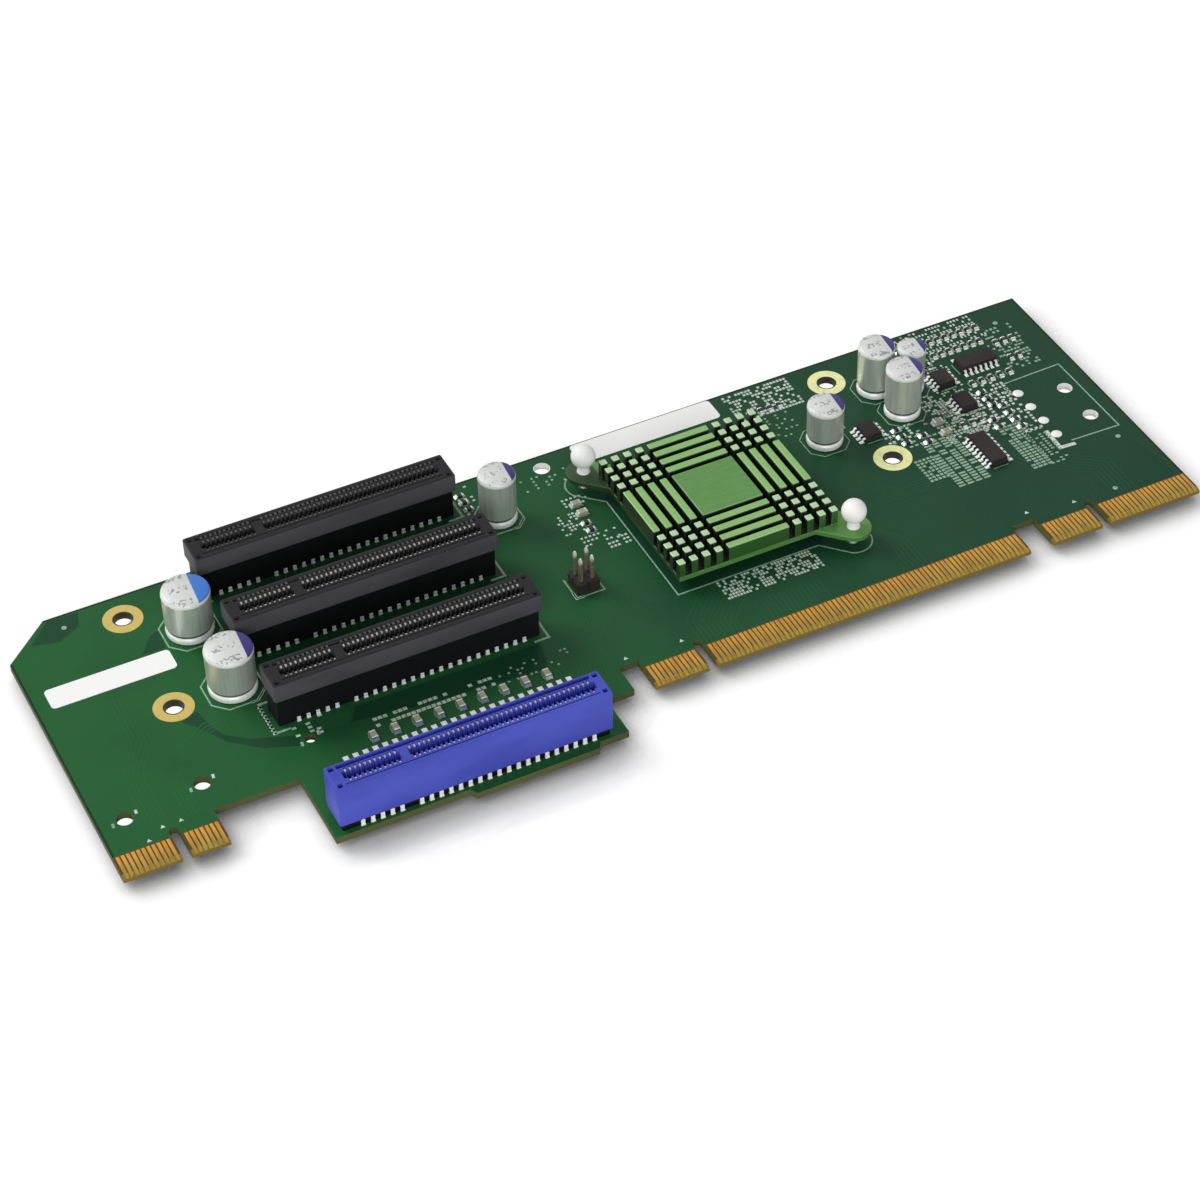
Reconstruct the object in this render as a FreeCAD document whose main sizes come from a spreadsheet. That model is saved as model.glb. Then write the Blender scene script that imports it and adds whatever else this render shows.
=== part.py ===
"""A server riser card lying flat: a circuit board with edge connectors, card slots and a heat sink.

Places on the card are measured from the board's left edge (x) and from the contact line, where the solder
mask ends and the edge contacts start (y, positive towards the back edge). Heights are measured from the
board's top. The finished card's origin is below the middle of the outline's box, on the plane that the
lead ends stand on.
"""
import FreeCAD, Part
import math
import os
import Sketcher

V = FreeCAD.Vector
doc = FreeCAD.newDocument("riser_card")
sheet = doc.addObject("Spreadsheet::Sheet", "sizes")

# Driving dimensions in millimetres, with angles in degrees
SIZES = [
    # Circuit board
    ("board_thickness", 1.57, "laminate with mask"),
    ("tongue_reach", 5.7, "contact line to tongue tip"),
    ("bevel_run", 1.2, "length of the bevel at a tongue tip"),
    ("bevel_rise", 0.42, "height of the bevel at a tongue tip"),
    ("corner_cut_x", 10.0, "cut back-left corner, along the back edge"),
    ("corner_cut_y", 9.2, "cut back-left corner, along the left edge"),
    ("recess_length", 17.5, "short tongue to the tab under the blue slot"),
    ("front_recess", 3.2, "front edge there, behind the contact line"),
    ("notch_recess", 2.4, "tops of all notches, behind the contact line"),
    ("tab_margin", 2.9, "tab past the slot's right end"),
    ("tab_reach", 14.3, "contact line to the tab's front edge"),
    ("shoulder_length", 6.1, "shoulder beside the tab"),
    ("shoulder_reach", 4.6, "contact line to the shoulder's front edge"),
    ("shoulder_gap", 4.3, "notch between the shoulder and the long tongue"),
    ("tongue_gap", 5.5, "notch between the long and the middle tongue"),
    ("back_margin", 5.91, "back slot's centre line to the back edge"),
    ("lip_offset", 27.3, "tab's left side to the lip in front of it"),
    ("lip_length", 27.4, "that lip"),
    ("lip_reach", 15.8, "contact line to the lip's front edge"),
    ("lip_slope", 0.9, "run of the lip's sloped ends"),
    ("lead_reach", 1.6, "lead ends below the board's underside"),
    # Edge connectors
    ("key_section", 11.65, "tongue length before the key notch"),
    ("key_width", 1.9, "width of a key notch"),
    ("long_section", 71.65, "long tongue after its key notch"),
    ("middle_section", 21.65, "middle tongue after its key notch"),
    ("short_section", 7.65, "short tongue after its key notch"),
    ("contact_pitch", 1.0, "contact spacing, at the edges and in the slots"),
    ("contact_width", 0.7, "edge contact width"),
    ("contact_plating", 0.05, "edge contact thickness"),
    ("contact_clearance", 0.1, "contact end to the start of the bevel"),
    # Holes
    ("mount_left", 24.4, "left pair of mount holes"),
    ("mount_span_x", 160.5, "mount holes, left pair to right pair"),
    ("mount_front", 32.3, "front pair of mount holes"),
    ("mount_span_y", 28.2, "mount holes, front pair to back pair"),
    ("mount_hole_radius", 1.95, "mount hole"),
    ("tool_hole_x", 21.8, "tooling hole, past the slots' right end"),
    ("tool_hole_y", 4.0, "tooling hole to the back edge"),
    ("tool_hole_radius", 1.8, "tooling hole"),
    ("peg_hole_radius", 1.7, "bare peg hole"),
    ("peg_hole_1_x", 5.5, "first peg hole"),
    ("peg_hole_1_y", 8.6, "first peg hole"),
    ("peg_hole_2_x", 21.8, "second peg hole"),
    ("peg_hole_2_y", 10.6, "second peg hole"),
    ("power_peg_x", 6.7, "two peg holes of the open power connector, to the right edge"),
    ("power_peg_y", 25.2, "first of the peg holes"),
    ("power_peg_pitch", 10.1, "spacing of the peg holes"),
    ("power_peg_radius", 1.65, "those peg holes"),
    # Card slots
    ("slot_offset", 1.3, "tab's left side to the left end of every slot housing"),
    ("slot_height", 11.15, "slot housing above the board"),
    ("slot_width", 7.5, "black housing"),
    ("slot_skirt_height", 6.9, "black housing, recessed lower part"),
    ("slot_skirt_inset", 0.75, "recess of the lower part at the sides"),
    ("slot_end_inset", 0.5, "recess of the lower part at the ends"),
    ("slot_front_y", 20.85, "centre line of the front black slot"),
    ("slot_pitch", 20.32, "black slot to black slot"),
    ("blue_width", 6.8, "blue housing"),
    ("blue_foot_height", 1.9, "blue housing's foot"),
    ("blue_foot_inset", 0.4, "foot behind the blue housing's sides"),
    ("blue_y", 10.2, "contact line to the blue slot's centre line, towards the front"),
    ("card_gap", 1.9, "width of the opening that takes a card"),
    ("card_gap_depth", 7.6, "depth of that opening"),
    ("card_gap_margin", 1.0, "opening past the outer contacts"),
    ("card_key_width", 1.7, "bridge across the opening"),
    ("corner_pit", 1.0, "square pit in a housing's top corners"),
    ("corner_pit_depth", 1.2, "depth of that pit"),
    ("corner_pit_margin", 0.6, "pit to the housing's sides and ends"),
    ("first_contact", 3.6, "housing's left end to its first contact"),
    ("last_contact", 3.0, "last contact to the housing's right end"),
    ("key_contacts", 11, "contacts before the bridge"),
    ("main_contacts", 38, "contacts after the bridge"),
    ("key_skip", 3.0, "last contact before the bridge to the first one after it"),
    ("tail_width", 0.5, "contact tail along the slot"),
    ("tail_depth", 0.35, "contact tail across the slot, at the board"),
    ("tail_height", 1.0, "contact tail beside a black housing"),
    ("blue_tail_height", 1.8, "contact tail beside the blue housing"),
    # Heat sink and bridge chip
    ("sink_x", 47.7, "heat sink centre, past the slots' right end"),
    ("sink_y", 34.2, "heat sink centre"),
    ("pad_side", 13.8, "flat square in the middle of the fins"),
    ("fin_width", 1.5, "fin or pin"),
    ("fin_gap", 1.3, "saw cut between fins"),
    ("fin_rows", 4, "fins on each side of the middle"),
    ("fin_height", 3.6, "fins above the plate"),
    ("plate_thickness", 1.2, "plate below the fins"),
    ("ear_reach", 2.3, "push pin past the plate's corner, along x and along y"),
    ("ear_radius", 3.7, "rounded end of an ear"),
    ("ear_hole_radius", 1.25, "push pin hole in an ear and in the board"),
    ("substrate_side", 31.0, "bridge chip's carrier"),
    ("substrate_height", 1.4, "bridge chip's carrier"),
    ("lid_side", 24.0, "bridge chip's lid"),
    ("lid_height", 1.0, "bridge chip's lid"),
    ("thermal_pad_side", 22.0, "thermal pad"),
    ("thermal_pad_height", 0.2, "thermal pad"),
    # Push pins
    ("pin_neck_radius", 1.45, "push pin neck on the ear"),
    ("pin_neck_height", 1.9, "push pin neck"),
    ("pin_head_radius", 2.6, "push pin head"),
    ("pin_head_height", 4.6, "push pin head above its neck"),
    ("pin_leg_width", 1.5, "each of two legs, across the split"),
    ("pin_leg_depth", 0.6, "each of two legs, along the split"),
    ("pin_leg_split", 0.4, "split between the legs"),
    # Capacitors
    ("can_foot_inset", 0.4, "foot of a can, drawn in from its side"),
    ("can_foot_height", 0.6, "foot of a can"),
    ("large_can_radius", 4.95, "large capacitor"),
    ("large_can_height", 10.7, "large capacitor"),
    ("large_lead_pitch", 5.0, "large capacitor"),
    ("tall_can_radius", 3.95, "tall capacitor"),
    ("tall_can_height", 12.0, "tall capacitor"),
    ("low_can_height", 10.0, "low capacitor of the tall one's radius"),
    ("tall_lead_pitch", 3.5, "tall and low capacitors"),
    ("slim_can_radius", 3.15, "slim capacitor"),
    ("slim_can_height", 11.6, "slim capacitor"),
    ("slim_lead_pitch", 2.5, "slim capacitor"),
    ("can_1_x", 4.7, "large capacitor, back left, to the slots' left end"),
    ("can_1_gap", 1.29, "that capacitor to the back slot"),
    ("can_2_x", 3.3, "large capacitor, front left, to the slots' left end"),
    ("can_2_gap", 0.27, "that capacitor to the middle slot"),
    ("can_3_x", 7.2, "tall capacitor, past the slots' right end"),
    ("can_3_y", 53.5, "tall capacitor beside the back slot"),
    ("can_4_x", 60.7, "low capacitor beside the heat sink, to the right edge"),
    ("can_4_y", 43.9, "low capacitor beside the heat sink"),
    ("can_5_x", 42.8, "tall capacitor, back of the group, to the right edge"),
    ("can_5_y", 53.9, "tall capacitor, back of the group"),
    ("can_6_x", 41.4, "tall capacitor, front of the group, to the right edge"),
    ("can_6_y", 44.7, "tall capacitor, front of the group"),
    ("can_7_nest", 0.5, "slim capacitor, nested towards the back one of the group"),
    ("can_7_y", 3.3, "slim capacitor, in front of the back one of the group"),
    # Pin header
    ("header_x", 13.7, "pin header centre, past the slots' right end"),
    ("header_y", 27.0, "pin header centre"),
    ("header_pitch", 2.54, "header pins"),
    ("header_height", 2.5, "header base"),
    ("header_pin_side", 0.64, "header pin"),
    ("header_pin_height", 8.5, "header pin above the board"),
    ("joint_side", 1.3, "solder joint at the board"),
    ("joint_tip", 0.6, "solder joint at the lead's end"),
    # Leaded chips
    ("chip_lead_pitch", 1.27, "lead spacing"),
    ("chip_lead_width", 0.42, "lead"),
    ("chip_lead_run", 1.05, "lead out of the body"),
    ("chip_lead_foot", 0.25, "lead height at its foot"),
    ("chip_lead_exit", 0.55, "lead height at the body"),
    ("chip_lead_top", 0.9, "top of the lead at the body"),
    ("chip_body_width", 3.9, "body across the leads"),
    ("chip_body_end", 0.52, "body past the end leads' centres"),
    ("chip_standoff", 0.15, "body above the board"),
    ("chip_body_height", 1.4, "body"),
    ("chip_draft", 6.0, "slope of the body's sides in degrees"),
    ("chip_16_x", 32.3, "16-lead chip, to the right edge"),
    ("chip_16_y", 25.0, "16-lead chip"),
    ("chip_14_x", 19.2, "14-lead chip, to the right edge"),
    ("chip_14_y", 51.5, "14-lead chip"),
    ("chip_8a_x", 51.4, "8-lead chip by the right mount hole, to the right edge"),
    ("chip_8a_y", 41.6, "8-lead chip by the right mount hole"),
    ("chip_8b_x", 28.5, "8-lead chip behind the 16-lead one, to the right edge"),
    ("chip_8b_y", 40.6, "8-lead chip behind the 16-lead one"),
    ("chip_8c_x", 28.8, "8-lead chip beside the 14-lead one, to the right edge"),
    ("chip_8c_y", 49.4, "8-lead chip beside the 14-lead one"),
    # Chip resistors and chip capacitors
    ("resistor_length", 1.6, "chip resistor along its ends"),
    ("resistor_width", 0.85, "chip resistor"),
    ("resistor_height", 0.5, "chip resistor"),
    ("ceramic_length", 2.0, "chip capacitor along its ends"),
    ("ceramic_width", 1.25, "chip capacitor"),
    ("ceramic_height", 0.9, "chip capacitor"),
    # Labels
    ("label_thickness", 0.1, "paper label"),
    ("left_label_x", 3.9, "left label's left end"),
    ("left_label_y", 42.6, "left label's front edge"),
    ("left_label_length", 24.8, "left label"),
    ("left_label_width", 5.4, "left label"),
    ("back_label_x", 17.9, "back label's left end to the heat sink's centre"),
    ("back_label_gap", 0.3, "back label to the board's back edge"),
    ("back_label_length", 33.2, "back label"),
    ("back_label_width", 6.2, "back label"),
]

# Rows of small parts: name, anchor of its x, first part's x and y, step along x and y, count, turned or not
RESISTOR_ROWS = [
    ("back", "right", 24.2, 62.2, 1.9, 0.0, 7, True),
    ("second", "right", 25.9, 57.6, 1.9, 0.0, 7, True),
    ("third", "right", 23.4, 45.6, 2.3, 0.0, 5, True),
    ("power", "right", 21.5, 28.6, 0.0, 2.6, 4, False),
    ("column", "right", 25.8, 30.6, 0.0, 2.6, 2, False),
    ("front", "right", 41.6, 33.2, 0.0, 2.4, 2, False),
    ("sink", "sink", 25.3, 41.2, 0.0, 2.4, 2, False),
    ("slot", "slots", 2.8, 58.6, 0.0, 2.3, 3, False),
]
CERAMIC_ROWS = [
    ("lanes", "left", 55.5, 6.9, 4.6, 0.0, 9, True),
    ("inlet", "right", 36.8, 34.2, 0.0, 3.6, 2, False),
    ("bridge", "sink", 24.7, 46.6, 0.0, 3.0, 2, False),
]
for part, rows in (("resistor", RESISTOR_ROWS), ("ceramic", CERAMIC_ROWS)):
    for name, anchor, first_x, first_y, step_x, step_y, count, turned in rows:
        SIZES.append((f"{part}_{name}_x", first_x, f"first {part} of the {name} row, from its anchor"))
        SIZES.append((f"{part}_{name}_y", first_y, f"first {part} of the {name} row"))
        SIZES.append((f"{part}_{name}_step", step_x + step_y, f"spacing in the {name} row"))
        SIZES.append((f"{part}_{name}_count", count, f"number in the {name} row"))

for row, (alias, value, meaning) in enumerate(SIZES, start=1):
    sheet.set(f"A{row}", meaning)
    sheet.set(f"B{row}", str(value))
    sheet.setAlias(f"B{row}", alias)
doc.recompute()


class Size:
    """A number together with the sheet expression that gives it."""

    def __init__(self, number, text):
        self.number = number
        self.text = text

    def joined(self, sign, other, turned=False):
        if not isinstance(other, Size):
            other = Size(float(other), repr(other))
        left, right = (other, self) if turned else (self, other)
        number = {
            "+": lambda: left.number + right.number,
            "-": lambda: left.number - right.number,
            "*": lambda: left.number * right.number,
            "/": lambda: left.number / right.number,
        }[sign]()
        return Size(number, f"({left.text} {sign} {right.text})")

    def __add__(self, other):
        return self.joined("+", other)

    def __radd__(self, other):
        return self.joined("+", other, turned=True)

    def __sub__(self, other):
        return self.joined("-", other)

    def __rsub__(self, other):
        return self.joined("-", other, turned=True)

    def __mul__(self, other):
        return self.joined("*", other)

    def __rmul__(self, other):
        return self.joined("*", other, turned=True)

    def __truediv__(self, other):
        return self.joined("/", other)

    def __neg__(self):
        return 0 - self


def size(alias):
    return Size(float(sheet.get(alias)), f"sizes.{alias}")


def number(alias):
    return float(sheet.get(alias))


ZERO = Size(0.0, "0")


def tongue_length(name):
    return size("key_section") + size("key_width") + size(f"{name}_section")


def contact_run(group):
    """First contact to last contact of one of a slot's two groups."""
    return (size(f"{group}_contacts") - 1) * size("contact_pitch")


# Lengths that follow from the driving ones
SLOT_LENGTH = (size("first_contact") + contact_run("key") + size("key_skip") + contact_run("main")
               + size("last_contact"))
SINK_HALF = size("pad_side") / 2 + size("fin_rows") * (size("fin_width") + size("fin_gap"))

# Stations along the card, from its left edge
TAB_LEFT = tongue_length("short") + size("recess_length")
SLOT_LEFT = TAB_LEFT + size("slot_offset")
SLOT_RIGHT = SLOT_LEFT + SLOT_LENGTH
TAB_RIGHT = SLOT_RIGHT + size("tab_margin")
SHOULDER_RIGHT = TAB_RIGHT + size("shoulder_length")
LONG_LEFT = SHOULDER_RIGHT + size("shoulder_gap")
LONG_RIGHT = LONG_LEFT + tongue_length("long")
MIDDLE_LEFT = LONG_RIGHT + size("tongue_gap")
BOARD_RIGHT = MIDDLE_LEFT + tongue_length("middle")
SINK_X = SLOT_RIGHT + size("sink_x")

# Stations across the card, from the contact line
MIDDLE_SLOT_Y = size("slot_front_y") + size("slot_pitch")
BACK_SLOT_Y = MIDDLE_SLOT_Y + size("slot_pitch")
BACK_EDGE = BACK_SLOT_Y + size("back_margin")

# Where the card's measuring point and the board's top lie in the finished frame
CARD_X = -BOARD_RIGHT / 2
CARD_Y = (size("lip_reach") - BACK_EDGE) / 2
BOARD_TOP = size("lead_reach") + size("board_thickness")


def anchored(anchor, distance):
    """A place along the card, given by its distance from one of the anchors."""
    return {
        "left": distance,
        "right": BOARD_RIGHT - distance,
        "slots": SLOT_RIGHT + distance,
        "sink": SINK_X - distance,
    }[anchor]


def bind(thing, field, value):
    """Set a field to a size and keep it tied to the sheet."""
    if "." not in field and "[" not in field:
        setattr(thing, field, value.number)
    thing.setExpression(field, value.text)


def place(thing, x, y, height=ZERO, turn=0):
    """Stand a sub-part on the card at x, y and a height above the board's top, turned about the vertical."""
    base = (CARD_X + x, CARD_Y + y, BOARD_TOP + height)
    turned = FreeCAD.Rotation(V(0, 0, 1), turn)
    thing.Placement = FreeCAD.Placement(V(*(value.number for value in base)), turned)
    for axis, value in zip("xyz", base):
        thing.setExpression(f"Placement.Base.{axis}", value.text)


def origin_plane(body, role):
    return next(item for item in body.Origin.OriginFeatures if item.Role == role)


def new_body(label):
    body = doc.addObject("PartDesign::Body", label)
    body.Label = label
    return body


def new_sketch(body, name, role="XY_Plane", height=ZERO):
    sketch = body.newObject("Sketcher::SketchObject", name)
    sketch.AttachmentSupport = (origin_plane(body, role), [""])
    sketch.MapMode = "FlatFace"
    sketch.setExpression("AttachmentOffset.Base.z", height.text)
    return sketch


def hold(sketch, geometry, point, x, y):
    """Fix one point of a sketch at two sizes from the sketch's origin."""
    for kind, value in (("DistanceX", x), ("DistanceY", y)):
        index = sketch.addConstraint(Sketcher.Constraint(kind, -1, 1, geometry, point, value.number))
        sketch.setExpression(f"Constraints[{index}]", value.text)


def outline(sketch, corners):
    """A closed outline of straight sides through the corners."""
    points = [V(x.number, y.number, 0) for x, y in corners]
    first = sketch.GeometryCount
    count = len(points)
    for step in range(count):
        sketch.addGeometry(Part.LineSegment(points[step], points[(step + 1) % count]), False)
    for step in range(count):
        following = first + (step + 1) % count
        sketch.addConstraint(Sketcher.Constraint("Coincident", first + step, 2, following, 1))
        hold(sketch, first + step, 1, *corners[step])


def rectangle(sketch, left, front, right, back):
    outline(sketch, [(left, front), (right, front), (right, back), (left, back)])


def centred_rectangle(sketch, length, width):
    rectangle(sketch, -length / 2, -width / 2, length / 2, width / 2)


def circle(sketch, x, y, radius):
    shape = Part.Circle(V(x.number, y.number, 0), V(0, 0, 1), radius.number)
    index = sketch.addGeometry(shape, False)
    hold(sketch, index, 3, x, y)
    constraint = sketch.addConstraint(Sketcher.Constraint("Radius", index, radius.number))
    sketch.setExpression(f"Constraints[{constraint}]", radius.text)


def pad(body, sketch, length, name):
    feature = body.newObject("PartDesign::Pad", name)
    feature.Profile = sketch
    bind(feature, "Length", length)
    return feature


def pocket(body, sketch, depth, name):
    """Cut down from the sketch by a depth."""
    feature = body.newObject("PartDesign::Pocket", name)
    feature.Profile = sketch
    bind(feature, "Length", depth)
    return feature


def turned_solid(body, profile, name):
    """Turn a profile once round the sketch's upright axis."""
    feature = body.newObject("PartDesign::Revolution", name)
    feature.Profile = profile
    feature.ReferenceAxis = (profile, ["V_Axis"])
    feature.Angle = 360


def box_solid(low, high):
    return Part.makeBox(*(high[axis] - low[axis] for axis in range(3)), V(*low))


def group(label, solids):
    """A sub-part of many like solids, given in the card's own measures above the board's top."""
    feature = doc.addObject("Part::Feature", label)
    feature.Label = label
    feature.Shape = Part.Compound(solids)
    place(feature, ZERO, ZERO)
    return feature


def tongues():
    """Each tongue's name and left end."""
    return [("short", ZERO), ("long", LONG_LEFT), ("middle", MIDDLE_LEFT)]


def mount_holes():
    left, front = size("mount_left"), size("mount_front")
    right, back = left + size("mount_span_x"), front + size("mount_span_y")
    return [(left, front), (right, front), (right, back), (left, back)]


def ear_pins():
    """The two push pins, on one diagonal of the heat sink."""
    offset = SINK_HALF + size("ear_reach")
    return [
        ("front", SINK_X + offset, size("sink_y") - offset),
        ("back", SINK_X - offset, size("sink_y") + offset),
    ]


def board_outline():
    tip = -size("tongue_reach")
    notch = size("notch_recess")
    recess = size("front_recess")
    tab = -size("tab_reach")
    lip = -size("lip_reach")
    lip_left = TAB_LEFT + size("lip_offset")
    lip_right = lip_left + size("lip_length")
    slope = size("lip_slope")
    shoulder = -size("shoulder_reach")
    short_right = tongue_length("short")
    return [
        (ZERO, tip), (short_right, tip), (short_right, recess), (TAB_LEFT, recess), (TAB_LEFT, tab),
        (lip_left, tab), (lip_left + slope, lip), (lip_right - slope, lip), (lip_right, tab),
        (TAB_RIGHT, tab), (TAB_RIGHT, shoulder), (SHOULDER_RIGHT, shoulder), (SHOULDER_RIGHT, notch),
        (LONG_LEFT, notch), (LONG_LEFT, tip), (LONG_RIGHT, tip), (LONG_RIGHT, notch),
        (MIDDLE_LEFT, notch), (MIDDLE_LEFT, tip), (BOARD_RIGHT, tip),
        (BOARD_RIGHT, BACK_EDGE), (size("corner_cut_x"), BACK_EDGE), (ZERO, BACK_EDGE - size("corner_cut_y")),
    ]


def circuit_board():
    body = new_body("circuit_board")
    sketch = new_sketch(body, "board_outline", height=-size("board_thickness"))
    outline(sketch, board_outline())
    pad(body, sketch, size("board_thickness"), "laminate")

    # Key notches with round tops
    tip = -size("tongue_reach")
    radius = size("key_width") / 2
    straight = new_sketch(body, "key_sides")
    rounds = new_sketch(body, "key_tops")
    for _, left in tongues():
        start = left + size("key_section")
        crown = size("notch_recess") - radius
        rectangle(straight, start, tip - radius, start + size("key_width"), crown)
        circle(rounds, start + radius, crown, radius)
    pocket(body, straight, size("board_thickness"), "key_notches")
    pocket(body, rounds, size("board_thickness"), "key_notch_tops")

    # Mount, tooling, peg, connector and push pin holes
    holes = new_sketch(body, "hole_places")
    for x, y in mount_holes():
        circle(holes, x, y, size("mount_hole_radius"))
    tool_x, tool_y = anchored("slots", size("tool_hole_x")), BACK_EDGE - size("tool_hole_y")
    circle(holes, tool_x, tool_y, size("tool_hole_radius"))
    for peg in (1, 2):
        circle(holes, size(f"peg_hole_{peg}_x"), size(f"peg_hole_{peg}_y"), size("peg_hole_radius"))
    for step in range(2):
        y = size("power_peg_y") + step * size("power_peg_pitch")
        circle(holes, anchored("right", size("power_peg_x")), y, size("power_peg_radius"))
    for _, x, y in ear_pins():
        circle(holes, x, y, size("ear_hole_radius"))
    pocket(body, holes, size("board_thickness"), "drilled_holes")

    # Bevels along both faces of each tongue's tip
    underside = -size("board_thickness")
    inner = tip + size("bevel_run")
    rise = size("bevel_rise")
    for name, left in tongues():
        length = tongue_length(name)
        bevels = new_sketch(body, f"{name}_tip_corners", "YZ_Plane", height=left + length)
        outline(bevels, [(tip, ZERO), (inner, ZERO), (tip, -rise)])
        outline(bevels, [(tip, underside), (inner, underside), (tip, underside + rise)])
        pocket(body, bevels, length, f"{name}_tip_bevels")
    place(body, ZERO, ZERO)
    return body


def edge_contacts(name, left):
    """The gold contacts on the upper face of one tongue, in the two rows beside its key notch."""
    pitch = number("contact_pitch")
    half = number("contact_width") / 2
    front = -number("tongue_reach") + number("bevel_run") + number("contact_clearance")
    solids = []
    after_key = left + size("key_section") + size("key_width")
    for start, length in ((left, size("key_section")), (after_key, size(f"{name}_section"))):
        count = int(length.number / pitch)
        first = start.number + (length.number - (count - 1) * pitch) / 2
        for step in range(count):
            centre = first + step * pitch
            solids.append(box_solid((centre - half, front, 0), (centre + half, 0, number("contact_plating"))))
    return group(f"edge_contacts_{name}", solids)


def slots():
    """Each slot's name, centre line, width, foot height, the foot's inset at the sides, and tail height."""
    black = (size("slot_width"), size("slot_skirt_height"), size("slot_skirt_inset"), size("tail_height"))
    blue = (size("blue_width"), size("blue_foot_height"), size("blue_foot_inset"), size("blue_tail_height"))
    rows = [("blue", -size("blue_y"), *blue)]
    for name, y in (("front", size("slot_front_y")), ("middle", MIDDLE_SLOT_Y), ("back", BACK_SLOT_Y)):
        rows.append((name, y, *black))
    return rows


def slot_housing(name, centre, width, foot_height, foot_inset, _):
    """A card slot: a recessed foot, a wider head, the opening for a card with its bridge, and corner pits."""
    body = new_body(f"slot_housing_{name}")
    length = SLOT_LENGTH
    end = size("slot_end_inset")
    top = size("slot_height")

    foot = new_sketch(body, "foot_outline")
    rectangle(foot, end, foot_inset - width / 2, length - end, width / 2 - foot_inset)
    pad(body, foot, foot_height, "foot")
    head = new_sketch(body, "head_outline", height=foot_height)
    rectangle(head, ZERO, -width / 2, length, width / 2)
    pad(body, head, top - foot_height, "head")

    gap = size("card_gap") / 2
    first = size("first_contact")
    last_before = first + contact_run("key")
    bridge = last_before + size("key_skip") / 2
    first_after = last_before + size("key_skip")
    last = first_after + contact_run("main")
    margin = size("card_gap_margin")
    opening = new_sketch(body, "card_opening", height=top)
    half_bridge = size("card_key_width") / 2
    rectangle(opening, first - margin, -gap, bridge - half_bridge, gap)
    rectangle(opening, bridge + half_bridge, -gap, last + margin, gap)
    pocket(body, opening, size("card_gap_depth"), "card_gap")

    pits = new_sketch(body, "corner_pits", height=top)
    inset = size("corner_pit_margin")
    side = size("corner_pit")
    for left in (inset, length - inset - side):
        for front in (inset - width / 2, width / 2 - inset - side):
            rectangle(pits, left, front, left + side, front + side)
    pocket(body, pits, size("corner_pit_depth"), "pits")
    place(body, SLOT_LEFT, centre)
    return body


def contact_places():
    """Every contact's distance from the housing's left end, in order."""
    pitch = number("contact_pitch")
    first = number("first_contact")
    restart = first + contact_run("key").number + number("key_skip")
    places = [first + step * pitch for step in range(int(number("key_contacts")))]
    return places + [restart + step * pitch for step in range(int(number("main_contacts")))]


def slot_tails(name, centre, width, _, foot_inset, tail_height):
    """The outer tails along both sides of a slot: every second contact, sloping out from foot to board."""
    side = width.number / 2 - foot_inset.number
    half = number("tail_width") / 2
    solids = []
    for index, along in enumerate(contact_places()):
        x = SLOT_LEFT.number + along - half
        towards = -1 if index % 2 else 1
        inner = centre.number + towards * side
        outer = inner + towards * number("tail_depth")
        corners = [V(x, inner, 0), V(x, outer, 0), V(x, inner, tail_height.number)]
        face = Part.Face(Part.makePolygon(corners + corners[:1]))
        solids.append(face.extrude(V(2 * half, 0, 0)))
    return group(f"slot_tails_{name}", solids)


def bridge_chip():
    """The chip below the heat sink: carrier, lid and the pad that the heat sink lies on."""
    level = ZERO
    pieces = []
    stems = (("bridge_substrate", "substrate"), ("bridge_lid", "lid"), ("thermal_pad", "thermal_pad"))
    for label, stem in stems:
        body = new_body(label)
        sketch = new_sketch(body, "sides")
        centred_rectangle(sketch, size(f"{stem}_side"), size(f"{stem}_side"))
        pad(body, sketch, size(f"{stem}_height"), "slab")
        place(body, SINK_X, size("sink_y"), level)
        level = level + size(f"{stem}_height")
        pieces.append(body)
    return pieces, level


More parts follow.
